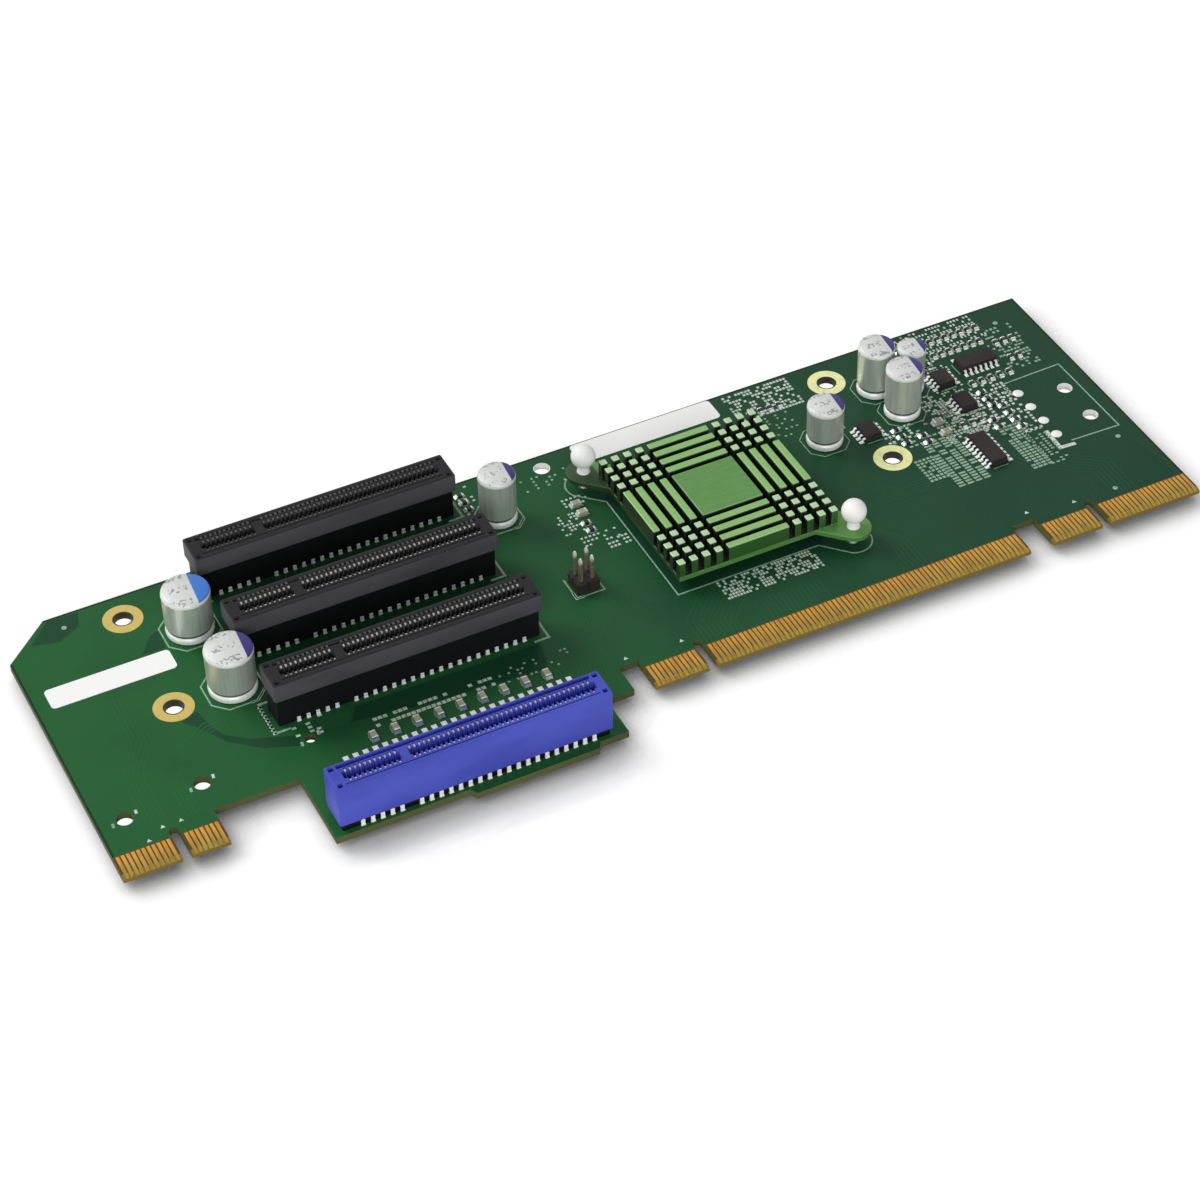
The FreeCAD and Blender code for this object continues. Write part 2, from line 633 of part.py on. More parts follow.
def heat_sink(level):
    """A plate with two round ears, and a block that saw cuts in both directions leave as fins and pins."""
    body = new_body("heat_sink")
    pitch = size("fin_width") + size("fin_gap")
    half_pad = size("pad_side") / 2
    half = SINK_HALF
    plate = new_sketch(body, "plate_outline")
    centred_rectangle(plate, 2 * half, 2 * half)
    pad(body, plate, size("plate_thickness"), "plate")

    # Each ear runs from the plate's corner out to its rounded end
    slant = size("ear_radius") * math.sqrt(0.5)
    offset = half + size("ear_reach")
    for sign, name in ((1, "front"), (-1, "back")):
        neck = new_sketch(body, f"{name}_ear_neck")
        inner = half - size("ear_radius")
        corners = [(inner - slant, -inner - slant), (offset - slant, -offset - slant),
                   (offset + slant, -offset + slant), (inner + slant, -inner + slant)]
        outline(neck, [(sign * x, sign * y) for x, y in corners])
        pad(body, neck, size("plate_thickness"), f"{name}_ear_neck_pad")
        end = new_sketch(body, f"{name}_ear_end")
        circle(end, sign * offset, -sign * offset, size("ear_radius"))
        pad(body, end, size("plate_thickness"), f"{name}_ear_end_pad")
    ear_holes = new_sketch(body, "ear_holes", height=size("plate_thickness"))
    for sign in (1, -1):
        circle(ear_holes, sign * offset, -sign * offset, size("ear_hole_radius"))
    pocket(body, ear_holes, size("plate_thickness"), "pin_holes")

    top = size("plate_thickness") + size("fin_height")
    block = new_sketch(body, "block_outline", height=size("plate_thickness"))
    centred_rectangle(block, 2 * half, 2 * half)
    pad(body, block, size("fin_height"), "block")

    # Saw cuts beside the middle square, first along x and then along y, on both sides of it
    rows = int(number("fin_rows"))
    for direction in ("x", "y"):
        cuts = new_sketch(body, f"saw_cuts_{direction}", height=top)
        for row in range(rows):
            for sign in (1, -1):
                near = sign * (half_pad + row * pitch)
                far = near + sign * size("fin_gap")
                low, high = (near, far) if sign > 0 else (far, near)
                if direction == "x":
                    rectangle(cuts, -half, low, half, high)
                else:
                    rectangle(cuts, low, -half, high, half)
        pocket(body, cuts, size("fin_height"), f"fins_{direction}")
    place(body, SINK_X, size("sink_y"), level)
    return body


def push_pin(name, x, y, ear_top):
    """A plastic push pin: a head on a neck that stands on the ear, and two legs through ear and board."""
    body = new_body(f"push_pin_{name}")
    profile = new_sketch(body, "head_profile", "XZ_Plane")
    neck, head = size("pin_neck_radius"), size("pin_head_radius")
    level = size("pin_neck_height")
    top = level + size("pin_head_height")
    outline(profile, [(ZERO, ZERO), (neck, ZERO), (neck, level), (head, level), (head, top), (ZERO, top)])
    turned_solid(body, profile, "head")

    length = ear_top + size("board_thickness") + size("lead_reach")
    legs = new_sketch(body, "leg_sections", height=-length)
    half_width = size("pin_leg_width") / 2
    for sign in (1, -1):
        near = sign * size("pin_leg_split") / 2
        far = near + sign * size("pin_leg_depth")
        low, high = (near, far) if sign > 0 else (far, near)
        rectangle(legs, -half_width, low, half_width, high)
    pad(body, legs, length, "legs")
    place(body, x, y, ear_top)
    return body


def cans():
    """Each capacitor's radius, height and lead spacing, in order from the left."""
    large = (size("large_can_radius"), size("large_can_height"), size("large_lead_pitch"))
    tall = (size("tall_can_radius"), size("tall_can_height"), size("tall_lead_pitch"))
    low = (size("tall_can_radius"), size("low_can_height"), size("tall_lead_pitch"))
    slim = (size("slim_can_radius"), size("slim_can_height"), size("slim_lead_pitch"))
    kinds = [large, large, tall, low, tall, tall, slim]
    beside_slot = size("slot_width") / 2 + size("large_can_radius")
    group_x = anchored("right", size("can_5_x"))
    places = [
        (SLOT_LEFT - size("can_1_x"), BACK_SLOT_Y - beside_slot - size("can_1_gap")),
        (SLOT_LEFT - size("can_2_x"), MIDDLE_SLOT_Y - beside_slot - size("can_2_gap")),
        (anchored("slots", size("can_3_x")), size("can_3_y")),
        (anchored("right", size("can_4_x")), size("can_4_y")),
        (group_x, size("can_5_y")),
        (anchored("right", size("can_6_x")), size("can_6_y")),
        (group_x + size("tall_can_radius") + size("slim_can_radius") - size("can_7_nest"),
         size("can_5_y") - size("can_7_y")),
    ]
    return [(*place, *kind) for place, kind in zip(places, kinds)]


def capacitor_cans():
    """Drawn cans, each with its foot rolled in."""
    bodies = []
    for index, (x, y, radius, height, _) in enumerate(cans(), start=1):
        body = new_body(f"can_{index}")
        profile = new_sketch(body, "can_profile", "XZ_Plane")
        outline(profile, [
            (ZERO, ZERO), (radius - size("can_foot_inset"), ZERO), (radius, size("can_foot_height")),
            (radius, height), (ZERO, height),
        ])
        turned_solid(body, profile, "can")
        place(body, x, y)
        bodies.append(body)
    cluster = doc.addObject("Part::Compound", "capacitor_cans")
    cluster.Label = "capacitor_cans"
    cluster.Links = bodies
    return cluster


def header_pins():
    """Centres of the header's four pins."""
    x, y = anchored("slots", size("header_x")), size("header_y")
    half = size("header_pitch") / 2
    return [(x + sign_x * half, y + sign_y * half) for sign_x in (-1, 1) for sign_y in (-1, 1)]


def pin_header():
    base = new_body("header_base")
    sides = new_sketch(base, "sides")
    side = 2 * size("header_pitch")
    centred_rectangle(sides, side, side)
    pad(base, sides, size("header_height"), "block")
    place(base, anchored("slots", size("header_x")), size("header_y"))

    half = number("header_pin_side") / 2
    solids = []
    for x, y in header_pins():
        low = (x.number - half, y.number - half, number("header_height"))
        high = (x.number + half, y.number + half, number("header_pin_height"))
        solids.append(box_solid(low, high))
    return [base, group("header_pins", solids)]


def solder_joints():
    """The soldered lead ends of the capacitors and the header, below the board."""
    ends = []
    for x, y, _, _, lead_pitch in cans():
        ends += [(x.number, y.number + sign * lead_pitch.number / 2) for sign in (-1, 1)]
    ends += [(x.number, y.number) for x, y in header_pins()]
    wide = number("joint_side") / 2
    narrow = number("joint_tip") / 2
    solids = []
    for x, y in ends:
        reach = number("lead_reach")
        joint = Part.makeWedge(-wide, 0, -wide, -narrow, -narrow, wide, reach, wide, narrow, narrow)
        down = FreeCAD.Rotation(V(1, 0, 0), -90)
        joint.Placement = FreeCAD.Placement(V(x, y, -number("board_thickness")), down)
        solids.append(joint)
    return group("solder_joints", solids)


def leaded_chip(name, leads, turn):
    """A moulded body with drafted sides, and sloping leads along two sides."""
    per_side = leads // 2
    span = (per_side - 1) * size("chip_lead_pitch")
    x, y = anchored("right", size(f"chip_{name}_x")), size(f"chip_{name}_y")
    body = new_body(f"chip_{name}_body")
    sides = new_sketch(body, "sides")
    centred_rectangle(sides, span + 2 * size("chip_body_end"), size("chip_body_width"))
    block = pad(body, sides, size("chip_body_height"), "moulding")
    block.setExpression("TaperAngle", f"-{size('chip_draft').text}")
    place(body, x, y, size("chip_standoff"), turn)

    feature = doc.addObject("Part::Feature", f"chip_{name}_leads")
    feature.Label = f"chip_{name}_leads"
    near = number("chip_body_width") / 2
    far = near + number("chip_lead_run")
    half = number("chip_lead_width") / 2
    solids = []
    for step in range(per_side):
        along = step * number("chip_lead_pitch") - span.number / 2
        for sign in (1, -1):
            section = [
                V(along - half, sign * near, number("chip_lead_exit")),
                V(along - half, sign * near, number("chip_lead_top")),
                V(along - half, sign * far, number("chip_lead_foot")),
                V(along - half, sign * far, 0),
            ]
            face = Part.Face(Part.makePolygon(section + section[:1]))
            solids.append(face.extrude(V(2 * half, 0, 0)))
    feature.Shape = Part.Compound(solids)
    place(feature, x, y, turn=turn)
    return [body, feature]


def small_parts(label, part, rows):
    """Rows of chip resistors or chip capacitors as plain blocks."""
    length = number(f"{part}_length")
    width = number(f"{part}_width")
    height = number(f"{part}_height")
    solids = []
    for name, anchor, _, _, step_x, _, _, turned in rows:
        half_x, half_y = (width / 2, length / 2) if turned else (length / 2, width / 2)
        step = number(f"{part}_{name}_step")
        first_x = anchored(anchor, size(f"{part}_{name}_x")).number
        for index in range(int(number(f"{part}_{name}_count"))):
            x = first_x + (index * step if step_x else 0)
            y = number(f"{part}_{name}_y") + (0 if step_x else index * step)
            solids.append(box_solid((x - half_x, y - half_y, 0), (x + half_x, y + half_y, height)))
    return group(label, solids)


def label_plate(name, x, y):
    body = new_body(f"label_{name}")
    sketch = new_sketch(body, "sides")
    rectangle(sketch, ZERO, ZERO, size(f"{name}_label_length"), size(f"{name}_label_width"))
    pad(body, sketch, size("label_thickness"), "paper")
    place(body, x, y)
    return body


def build():
    pieces = [circuit_board()]
    for name, left in tongues():
        pieces.append(edge_contacts(name, left))
    for slot in slots():
        pieces += [slot_housing(*slot), slot_tails(*slot)]
    chip_pieces, chip_top = bridge_chip()
    pieces += chip_pieces
    pieces.append(heat_sink(chip_top))
    for name, x, y in ear_pins():
        pieces.append(push_pin(name, x, y, chip_top + size("plate_thickness")))
    pieces.append(capacitor_cans())
    pieces += pin_header()
    pieces.append(solder_joints())
    for name, leads, turn in (("16", 16, 90), ("14", 14, 0), ("8a", 8, 90), ("8b", 8, 90), ("8c", 8, 90)):
        pieces += leaded_chip(name, leads, turn)
    pieces.append(small_parts("chip_resistors", "resistor", RESISTOR_ROWS))
    pieces.append(small_parts("chip_capacitors", "ceramic", CERAMIC_ROWS))
    pieces.append(label_plate("left", size("left_label_x"), size("left_label_y")))
    label_front = BACK_EDGE - size("back_label_gap") - size("back_label_width")
    pieces.append(label_plate("back", anchored("sink", size("back_label_x")), label_front))
    return pieces


pieces = build()
doc.recompute()
for thing in doc.Objects:
    if "Invalid" in thing.State or "Error" in thing.State:
        raise RuntimeError(f"{thing.Label} failed: {thing.State}")
    if thing.TypeId == "PartDesign::Pocket" and not thing.Shape.Volume < thing.BaseFeature.Shape.Volume:
        raise RuntimeError(f"{thing.Label} cut nothing")
for piece in pieces:
    if piece.Shape.isNull() or not piece.Shape.isValid():
        raise RuntimeError(f"{piece.Label} has no valid shape")

os.makedirs("parts", exist_ok=True)
for piece in pieces:
    piece.Shape.exportStep(f"parts/{piece.Label}.step")
print(len(pieces), "sub-parts written")
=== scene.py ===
"""Looks of a server riser card: board, card slots, finned heat sink, capacitors, chips and print."""
import math

import bmesh
import bpy
from mathutils import Matrix, Vector
from mathutils.geometry import delaunay_2d_cdt


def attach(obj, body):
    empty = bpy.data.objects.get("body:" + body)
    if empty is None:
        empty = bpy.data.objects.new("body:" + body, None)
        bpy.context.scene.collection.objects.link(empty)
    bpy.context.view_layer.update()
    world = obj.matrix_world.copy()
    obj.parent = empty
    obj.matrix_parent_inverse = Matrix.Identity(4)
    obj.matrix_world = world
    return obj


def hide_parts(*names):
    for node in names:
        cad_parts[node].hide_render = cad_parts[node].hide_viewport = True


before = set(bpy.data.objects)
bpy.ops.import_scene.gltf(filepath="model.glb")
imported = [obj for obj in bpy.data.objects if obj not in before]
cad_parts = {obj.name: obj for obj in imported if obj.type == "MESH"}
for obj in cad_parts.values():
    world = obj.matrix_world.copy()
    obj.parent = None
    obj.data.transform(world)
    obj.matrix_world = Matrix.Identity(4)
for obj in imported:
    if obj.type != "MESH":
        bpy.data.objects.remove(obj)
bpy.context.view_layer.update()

# Measures of the card in millimetres: x from its left edge, y from the contact line, z from the board's top
MM = 0.001
CARD_MIDDLE_X = 117.9
CARD_MIDDLE_Y = 25.8
BOARD_TOP = 3.17
BOARD_THICKNESS = 1.57
UNDERSIDE = -BOARD_THICKNESS
FLOOR_LEVEL = -BOARD_TOP
INK = 0.03
COPPER = 0.02
PLATING = 0.05
LABEL_THICKNESS = 0.1

# How far print and planes reach into the board
SUNK = 0.01

SLOT_LEFT = 40.0
SLOT_RIGHT = 96.6
SLOT_TOP = 11.15
BLACK_SLOTS = {"front": 20.85, "middle": 41.17, "back": 61.49}
BLUE_SLOT_Y = -10.2

# Slots by kind: width, height and inset of the foot, height and half width of a tail
BLACK_FOOT = 6.9
BLUE_FOOT = 1.5
SLOT_DESIGNS = {"black": (7.5, BLACK_FOOT, 0.75, 1.0, 0.36), "blue": (6.8, BLUE_FOOT, 0.4, 1.38, 0.4)}
SLOT_CORNER = 0.35
FOOT_END_INSET = 0.5
TOP_CHAMFER = 0.25

# Openings in a slot's top: the card gap, a notch of its combed walls for each contact, and corner pits
CARD_GAP = 1.9
CARD_GAP_DEPTH = 7.6
NOTCH_HALF = 0.3
NOTCH_DEPTH = 0.85
PIT_MARGIN = 0.6
PIT_SIDE = 1.0
PIT_DEPTH = 1.2

# Grooves in a slot's top: y from the centre line, width; depth and distance from the ends
FRONT_GROOVE = (-2.5, 0.3)
BACK_GROOVE = (1.95, 0.95)
GROOVE_DEPTH = 1.3
GROOVE_END = 2.2
RIB_HALF = 0.24
RIB_DROP = 0.15

# Contacts from the slot's left end, with the key's bridge after the eleventh
KEY_CONTACTS = 11
CONTACTS = [3.6 + step for step in range(KEY_CONTACTS)] + [16.6 + step for step in range(38)]
KEY_BRIDGE = (14.25, 15.95)

# Rows of a slot's solder joints on each side of its centre line
JOINT_OFFSETS = (0.7, 2.1)

SINK_X = 144.3
SINK_Y = 34.2
SINK_PLATE = 3.8
SINK_FIN_TOP = 7.4
SINK_HALF = 18.1
SINK_PAD = 6.9
EDGE_BREAK = 0.13
PUSH_PINS = {"front": (164.7, 13.8), "back": (123.9, 54.6)}
PIN_SEAT = 3.8
PIN_BALL = 7.8
PIN_RADIUS = 2.6

# Degrees of the circle that each of a push pin's two legs takes up
LEG_ARC = 156

# Capacitors: centre, radius, height, lead spacing, and whether the printed segment is blue
CANS = [
    (35.3, 51.5, 4.95, 10.7, 5.0, True),
    (36.7, 32.2, 4.95, 10.7, 5.0, False),
    (103.8, 53.5, 3.95, 12.0, 3.5, False),
    (175.1, 43.9, 3.95, 10.0, 3.5, False),
    (193.0, 53.9, 3.95, 12.0, 3.5, False),
    (194.4, 44.7, 3.95, 12.0, 3.5, False),
    (199.6, 50.6, 3.15, 11.6, 2.5, False),
]
HEADER = (110.3, 27.0)
HEADER_PITCH = 2.54
HEADER_BASE = 2.5
HEADER_PIN = 0.64
HEADER_TOP = 8.5

# Leaded chips: centre, leads on each side, and whether the rows of leads run along x
CHIPS = {
    "chip_16": (203.5, 25.0, 8, False),
    "chip_14": (216.6, 51.5, 7, True),
    "chip_8a": (184.4, 41.6, 4, False),
    "chip_8b": (207.3, 40.6, 4, False),
    "chip_8c": (207.0, 49.4, 4, False),
}
CHIP_HALF = 1.95
LEAD_PITCH = 1.27

# Rows of chip parts: first centre, step, count, and whether the row runs along x; parts lie across it
RESISTOR_ROWS = [
    (211.6, 62.2, 1.9, 7, True), (209.9, 57.6, 1.9, 7, True), (212.4, 45.6, 2.3, 5, True),
    (214.3, 28.6, 2.6, 4, False), (210, 30.6, 2.6, 2, False), (194.2, 33.2, 2.4, 2, False),
    (119, 41.2, 2.4, 2, False), (99.4, 58.6, 2.3, 3, False),
]
CERAMIC_ROWS = [
    (55.5, 6.9, 4.6, 9, True), (199, 34.2, 3.6, 2, False), (119.6, 46.6, 3, 2, False),
]

# Rows of small parts that only the scene has
SMALL_ROWS = [
    (224.2, 55.4, 2, 3, True), (224.4, 49.6, 2, 2, True), (203.4, 34.4, 2.1, 3, True),
    (204.2, 59.6, 2.4, 3, False), (206.8, 55.6, 2.4, 2, False), (190, 35, 2.3, 3, False),
    (212.6, 37.6, 2.3, 3, False), (180, 46, 2.3, 2, False), (165.6, 58.6, 2.2, 4, True),
]

# Length, width and height of a chip part, and how far its tinned ends stand proud
RESISTOR = (1.6, 0.85, 0.5)
CERAMIC = (2.0, 1.25, 0.9)
CAP_SKIN = 0.03

# Holes: centre, and the radius where it isn't the same for all
MOUNT_HOLES = [(24.4, 32.3), (184.9, 32.3), (24.4, 60.5), (184.9, 60.5)]
MOUNT_RADIUS = 1.95
RING_RADIUS = 4.1
RING_GAP = 0.2
POWER_PINS = [(219.3, 23.1 + 5.08 * step) for step in range(4)]
POWER_PEGS = [(229.1, 25.2, 1.65), (229.1, 35.3, 1.65)]
TOOL_HOLE = (118.4, 63.4, 1.8)
BARE_PEGS = [(5.5, 8.6, 1.7), (21.8, 10.6, 1.7)]
PEG_HOLE = (44.6, 12.2, 1.15)

# Linings of holes: thickness in the mount holes and in the others, and their clearance
BARREL = 0.12
COLLAR = 0.1
LINING_GAP = 0.01

# Solder on a filled pin: radius and height
SOLDER_DOME = [(1.15, 0.0), (1.15, 0.05), (0.8, 0.18), (0.3, 0.24)]

# Round and three-cornered printed marks
FIDUCIALS = [(13.1, 63.5), (227.8, 61.5), (230.3, 16.5), (220.6, 2.7)]
ARROWS = [(7.6, 1.2), (11.1, 3.4), (14.8, 3.4), (200.3, 4.6), (210.7, 3.0), (120.0, 3.4), (108.0, 4.0)]

# Copper below the mask: a path, the lines beside each other and their spacing
TRACE_WIDTH = 0.3
TRACE_BUNDLES = [
    ([(44, 30.6), (98, 30.6), (103, 34), (124, 34)], 7, 0.75),
    ([(44, 49), (97, 49), (101, 46), (124, 46)], 5, 0.75),
    ([(98.5, 1), (102.5, 6), (102.5, 12), (110, 18.8), (124, 18.8)], 8, 0.75),
    ([(128, 1), (128, 6), (133, 11), (133, 15)], 10, 1),
    ([(146, 1), (146, 7)], 14, 1),
    ([(172, 1), (172, 8), (165, 20), (163.5, 20)], 6, 1),
    ([(163, 28), (174, 28), (180, 22), (190, 22)], 5, 0.8),
    ([(222, 1), (222, 10), (214, 16)], 6, 1),
    ([(10.6, 4.5), (10.6, 18), (15.5, 26), (15.5, 40)], 5, 0.9),
    ([(17.5, 3.5), (17.5, 16), (28, 24), (38, 24)], 4, 0.9),
    ([(52, 0.5), (52, 4.5)], 4, 1),
    ([(64, 0.5), (64, 4.5)], 12, 1),
    ([(84, 0.5), (84, 4.5)], 12, 1),
]
UNDERSIDE_BUNDLES = [
    ([(56, 17), (56, -6.4)], 9, 1.3),
    ([(74, 17), (74, 8), (78, 3), (78, -6.4)], 9, 1.3),
    ([(60, 37.4), (60, 24.6)], 12, 1.3),
    ([(80, 57.8), (80, 44.9)], 12, 1.3),
    ([(96, 33.5), (118, 33.5), (124, 36), (142, 36)], 8, 0.9),
    ([(96, 46), (116, 46), (124, 42), (142, 42)], 5, 0.9),
    ([(150, 26), (150, 2)], 14, 1),
    ([(136, 28), (128, 20), (128, 2)], 10, 1),
    ([(160, 24), (188, 24), (208, 6), (208, 2)], 8, 0.9),
    ([(11, 3), (11, 34), (16, 40), (30, 40)], 5, 0.9),
    ([(160, 34), (170, 34), (170, 58)], 4, 0.9),
]

# Outlines of plane areas, deeper or lighter than the mask around them; the deep areas between the black
# slots and under the heat sink are painted shade
DEEP_PLANES_AND_PAINTED_SHADE = [
    [
        (24.3, 27.7), (27.4, 23.4), (30.2, 18.6), (35.4, 14), (42, 11.2), (43.2, 13.9), (34.3, 17.4),
        (30, 21.1), (28.6, 25.5), (28, 29.2),
    ],
    [(5.6, 61.5), (11, 60), (15.9, 62.6), (17.1, 66.6), (10.7, 66.9)],
    [(24.1, 48.9), (29, 48.6), (29.8, 54.1), (27.5, 53.4)],
    [(53.4, 12.6), (66.8, 10.5), (93.5, 8.5), (95.1, 15.7), (55.6, 16.2)],
    # Painted shade: the board between the black slots, and under the heat sink
    [(38.8, 21), (97.6, 21), (97.6, 61), (38.8, 61)],
    [(125.2, 15.6), (158.4, 15.6), (163.2, 20.4), (163.2, 53), (130.2, 53), (125.2, 48)],
]
LIGHT_PLANES = [
    [(46.8, 13.7), (52.5, 12.4), (54.9, 16.2), (48.6, 16.2)],
]

# Fields of small marks by finish: corners, columns, rows, size of a mark, share left out, seed
FIELDS = {
    "ink": [
        (134.2, 9.9, 155.6, 14.9, 32, 7, (0.5, 0.58), 0.34, 1),
        (162.6, 57.4, 177.4, 66, 20, 10, (0.58, 0.6), 0.45, 2),
        (57.6, 9.4, 82, 11.2, 24, 2, (0.85, 0.8), 0.3, 3),
        (116, 37.2, 123.4, 39.6, 9, 3, (0.5, 0.5), 0.4, 4),
        (117.6, 50, 122.4, 52, 6, 3, (0.5, 0.5), 0.35, 5),
        (210, 64, 223.4, 66.4, 18, 3, (0.45, 0.6), 0.35, 7),
        (113.8, 42, 117.8, 47.6, 6, 7, (0.5, 0.5), 0.45, 32),
        (120.4, 34.6, 124.6, 36.8, 6, 3, (0.55, 0.55), 0.35, 33),
        (198.9, 38.6, 203.7, 46.6, 8, 12, (0.5, 0.5), 0.45, 29),
        (204.2, 43.5, 210.2, 46.5, 9, 5, (0.5, 0.45), 0.4, 30),
        (203.6, 52.3, 210.4, 54.1, 10, 3, (0.45, 0.5), 0.35, 31),
        (209.2, 59.4, 224, 60.6, 18, 2, (0.4, 0.65), 0.3, 8),
        (97.4, 56, 101.6, 65.6, 4, 9, (0.6, 0.5), 0.45, 9),
        (42.8, 12.8, 48.6, 17.2, 5, 5, (0.9, 0.6), 0.5, 10),
        (203, 54.2, 208.8, 65.8, 7, 12, (0.6, 0.65), 0.4, 11),
        (186.8, 36.6, 193.4, 40.2, 8, 5, (0.65, 0.6), 0.4, 12),
        (200.8, 36.2, 204.6, 43.4, 6, 10, (0.45, 0.45), 0.4, 15),
        (198.4, 30.8, 209.4, 37.2, 14, 8, (0.6, 0.55), 0.4, 16),
        (214.2, 26.8, 217.8, 41, 4, 15, (0.65, 0.6), 0.35, 18),
        (203.2, 31.2, 213.4, 37.6, 11, 7, (0.75, 0.6), 0.45, 23),
        (211, 37.6, 218, 44.2, 8, 7, (0.6, 0.6), 0.5, 24),
    ],
    "ink_dim": [
        (222.8, 46, 229.4, 53.8, 9, 9, (0.6, 0.55), 0.45, 6),
        (112.6, 58, 122.4, 61.4, 9, 4, (0.5, 0.5), 0.5, 13),
        (167.4, 49, 172.4, 56, 5, 8, (0.5, 0.45), 0.55, 14),
        (209.6, 15.8, 213.2, 30, 4, 17, (0.95, 0.55), 0.12, 17),
        (193.2, 18, 199.2, 33, 4, 18, (1.5, 0.52), 0.14, 19),
        (188.4, 22.1, 192.2, 28.8, 5, 8, (0.65, 0.6), 0.16, 20),
        (222.2, 54, 226, 57.6, 5, 4, (0.5, 0.5), 0.5, 21),
        (84, 8.6, 98.6, 12, 16, 4, (0.5, 0.5), 0.65, 22),
        (186.4, 33.6, 200.4, 40, 12, 6, (0.8, 0.5), 0.6, 25),
        (213.6, 15.4, 217.4, 28, 4, 16, (0.7, 0.4), 0.35, 26),
        (200.2, 56, 209, 66.6, 9, 10, (0.6, 0.6), 0.6, 27),
        (222.6, 54, 230, 60, 8, 6, (0.6, 0.6), 0.6, 28),
    ],
    "via": [
        (134, 24.6, 154, 43.4, 17, 16, (0.5, 0.5), 0.25, 41),
        (203, 36, 219, 56, 12, 15, (0.5, 0.5), 0.6, 42),
        (44, 26, 92, 36.6, 30, 6, (0.5, 0.5), 0.72, 43),
        (100, 6, 124, 22, 14, 10, (0.5, 0.5), 0.75, 44),
    ],
}

# Bare pads in a row behind the blue slot: first centre, spacing, count; half width, half length, height
LANE_PADS = ((48.5, 4.0), 2.05, 24)
LANE_PAD = (0.55, 0.6, 0.06)

LABELS = {"left": (3.3, 42.5, 29.3, 48.1), "back": (126.4, 60.9, 159.6, 67.1)}
LABEL_CORNER = 0.9

# Tongues: left end, length before the key notch, key notch, length after it
TONGUES = [(0.0, 11.65, 1.9, 7.65), (109.9, 11.65, 1.9, 71.65), (200.6, 11.65, 1.9, 21.65)]
FINGER_FRONT = -4.4
FINGER_TIP = -5.62
FINGER_FALL = 0.33
FINGER_WIDTH = 0.7
FINGER_PITCH = 1.0


def at(x, y, z=0.0):
    """A place on the card, in millimetres, as a point of the frame in metres."""
    return Vector(((x - CARD_MIDDLE_X) * MM, (y - CARD_MIDDLE_Y) * MM, (z + BOARD_TOP) * MM))


def put(name, data):
    """A new object in the scene."""
    made = bpy.data.objects.new(name, data)
    bpy.context.collection.objects.link(made)
    return made


def tint(red, green, blue):
    """A colour given as seen on a screen, 0 to 255, in the linear numbers that shaders take."""
    parts = []
    for value in (red, green, blue):
        share = value / 255
        parts.append(share / 12.92 if share <= 0.04045 else ((share + 0.055) / 1.055) ** 2.4)
    return (*parts, 1.0)


class Wire:
    """A node's output; sums and products of wires add Math nodes."""

    def __init__(self, net, socket):
        self.net = net
        self.socket = socket

    def pick(self, name):
        """Another output of the same node."""
        return Wire(self.net, self.socket.node.outputs[name])

    def __add__(self, other):
        return self.net.maths("ADD", self, other)

    def __sub__(self, other):
        return self.net.maths("SUBTRACT", self, other)

    def __rsub__(self, other):
        return self.net.maths("SUBTRACT", other, self)

    def __mul__(self, other):
        return self.net.maths("MULTIPLY", self, other)

    __radd__ = __add__
    __rmul__ = __mul__

    def __abs__(self):
        return self.net.maths("ABSOLUTE", self)

    def sine(self):
        return self.net.maths("SINE", self)

    def wave(self, length):
        """A sine wave along this measure."""
        return (self * (2 * math.pi / length)).sine()

    def over(self, limit):
        return self.net.maths("GREATER_THAN", self, limit)

    def rise(self, low, high):
        """0 below low, 1 above high, and a smooth step between."""
        smooth = {"interpolation_type": "SMOOTHSTEP"}
        return self.net.node("ShaderNodeMapRange", smooth, Value=self, From_Min=low, From_Max=high)


class Net:
    """The nodes of one material or one Geometry Nodes tree."""

    def __init__(self, tree):
        self.tree = tree

    def node(self, kind, settings=None, out=None, **sockets):
        """A new node's output, the first one unless out names another."""
        made = self.tree.nodes.new(kind)
        for key, value in (settings or {}).items():
            setattr(made, key, value)
        for key, value in sockets.items():
            words = key.replace("_", " ")
            socket = next(s for s in made.inputs if s.identifier == key or s.name == words)
            if isinstance(value, Wire):
                self.tree.links.new(value.socket, socket)
            else:
                socket.default_value = value
        found = [s for s in made.outputs if out in (None, s.identifier, s.name)]
        return Wire(self, found[0]) if found else None

    def maths(self, operation, *values):
        sockets = dict(zip(("Value", "Value_001"), values))
        return self.node("ShaderNodeMath", {"operation": operation}, **sockets)


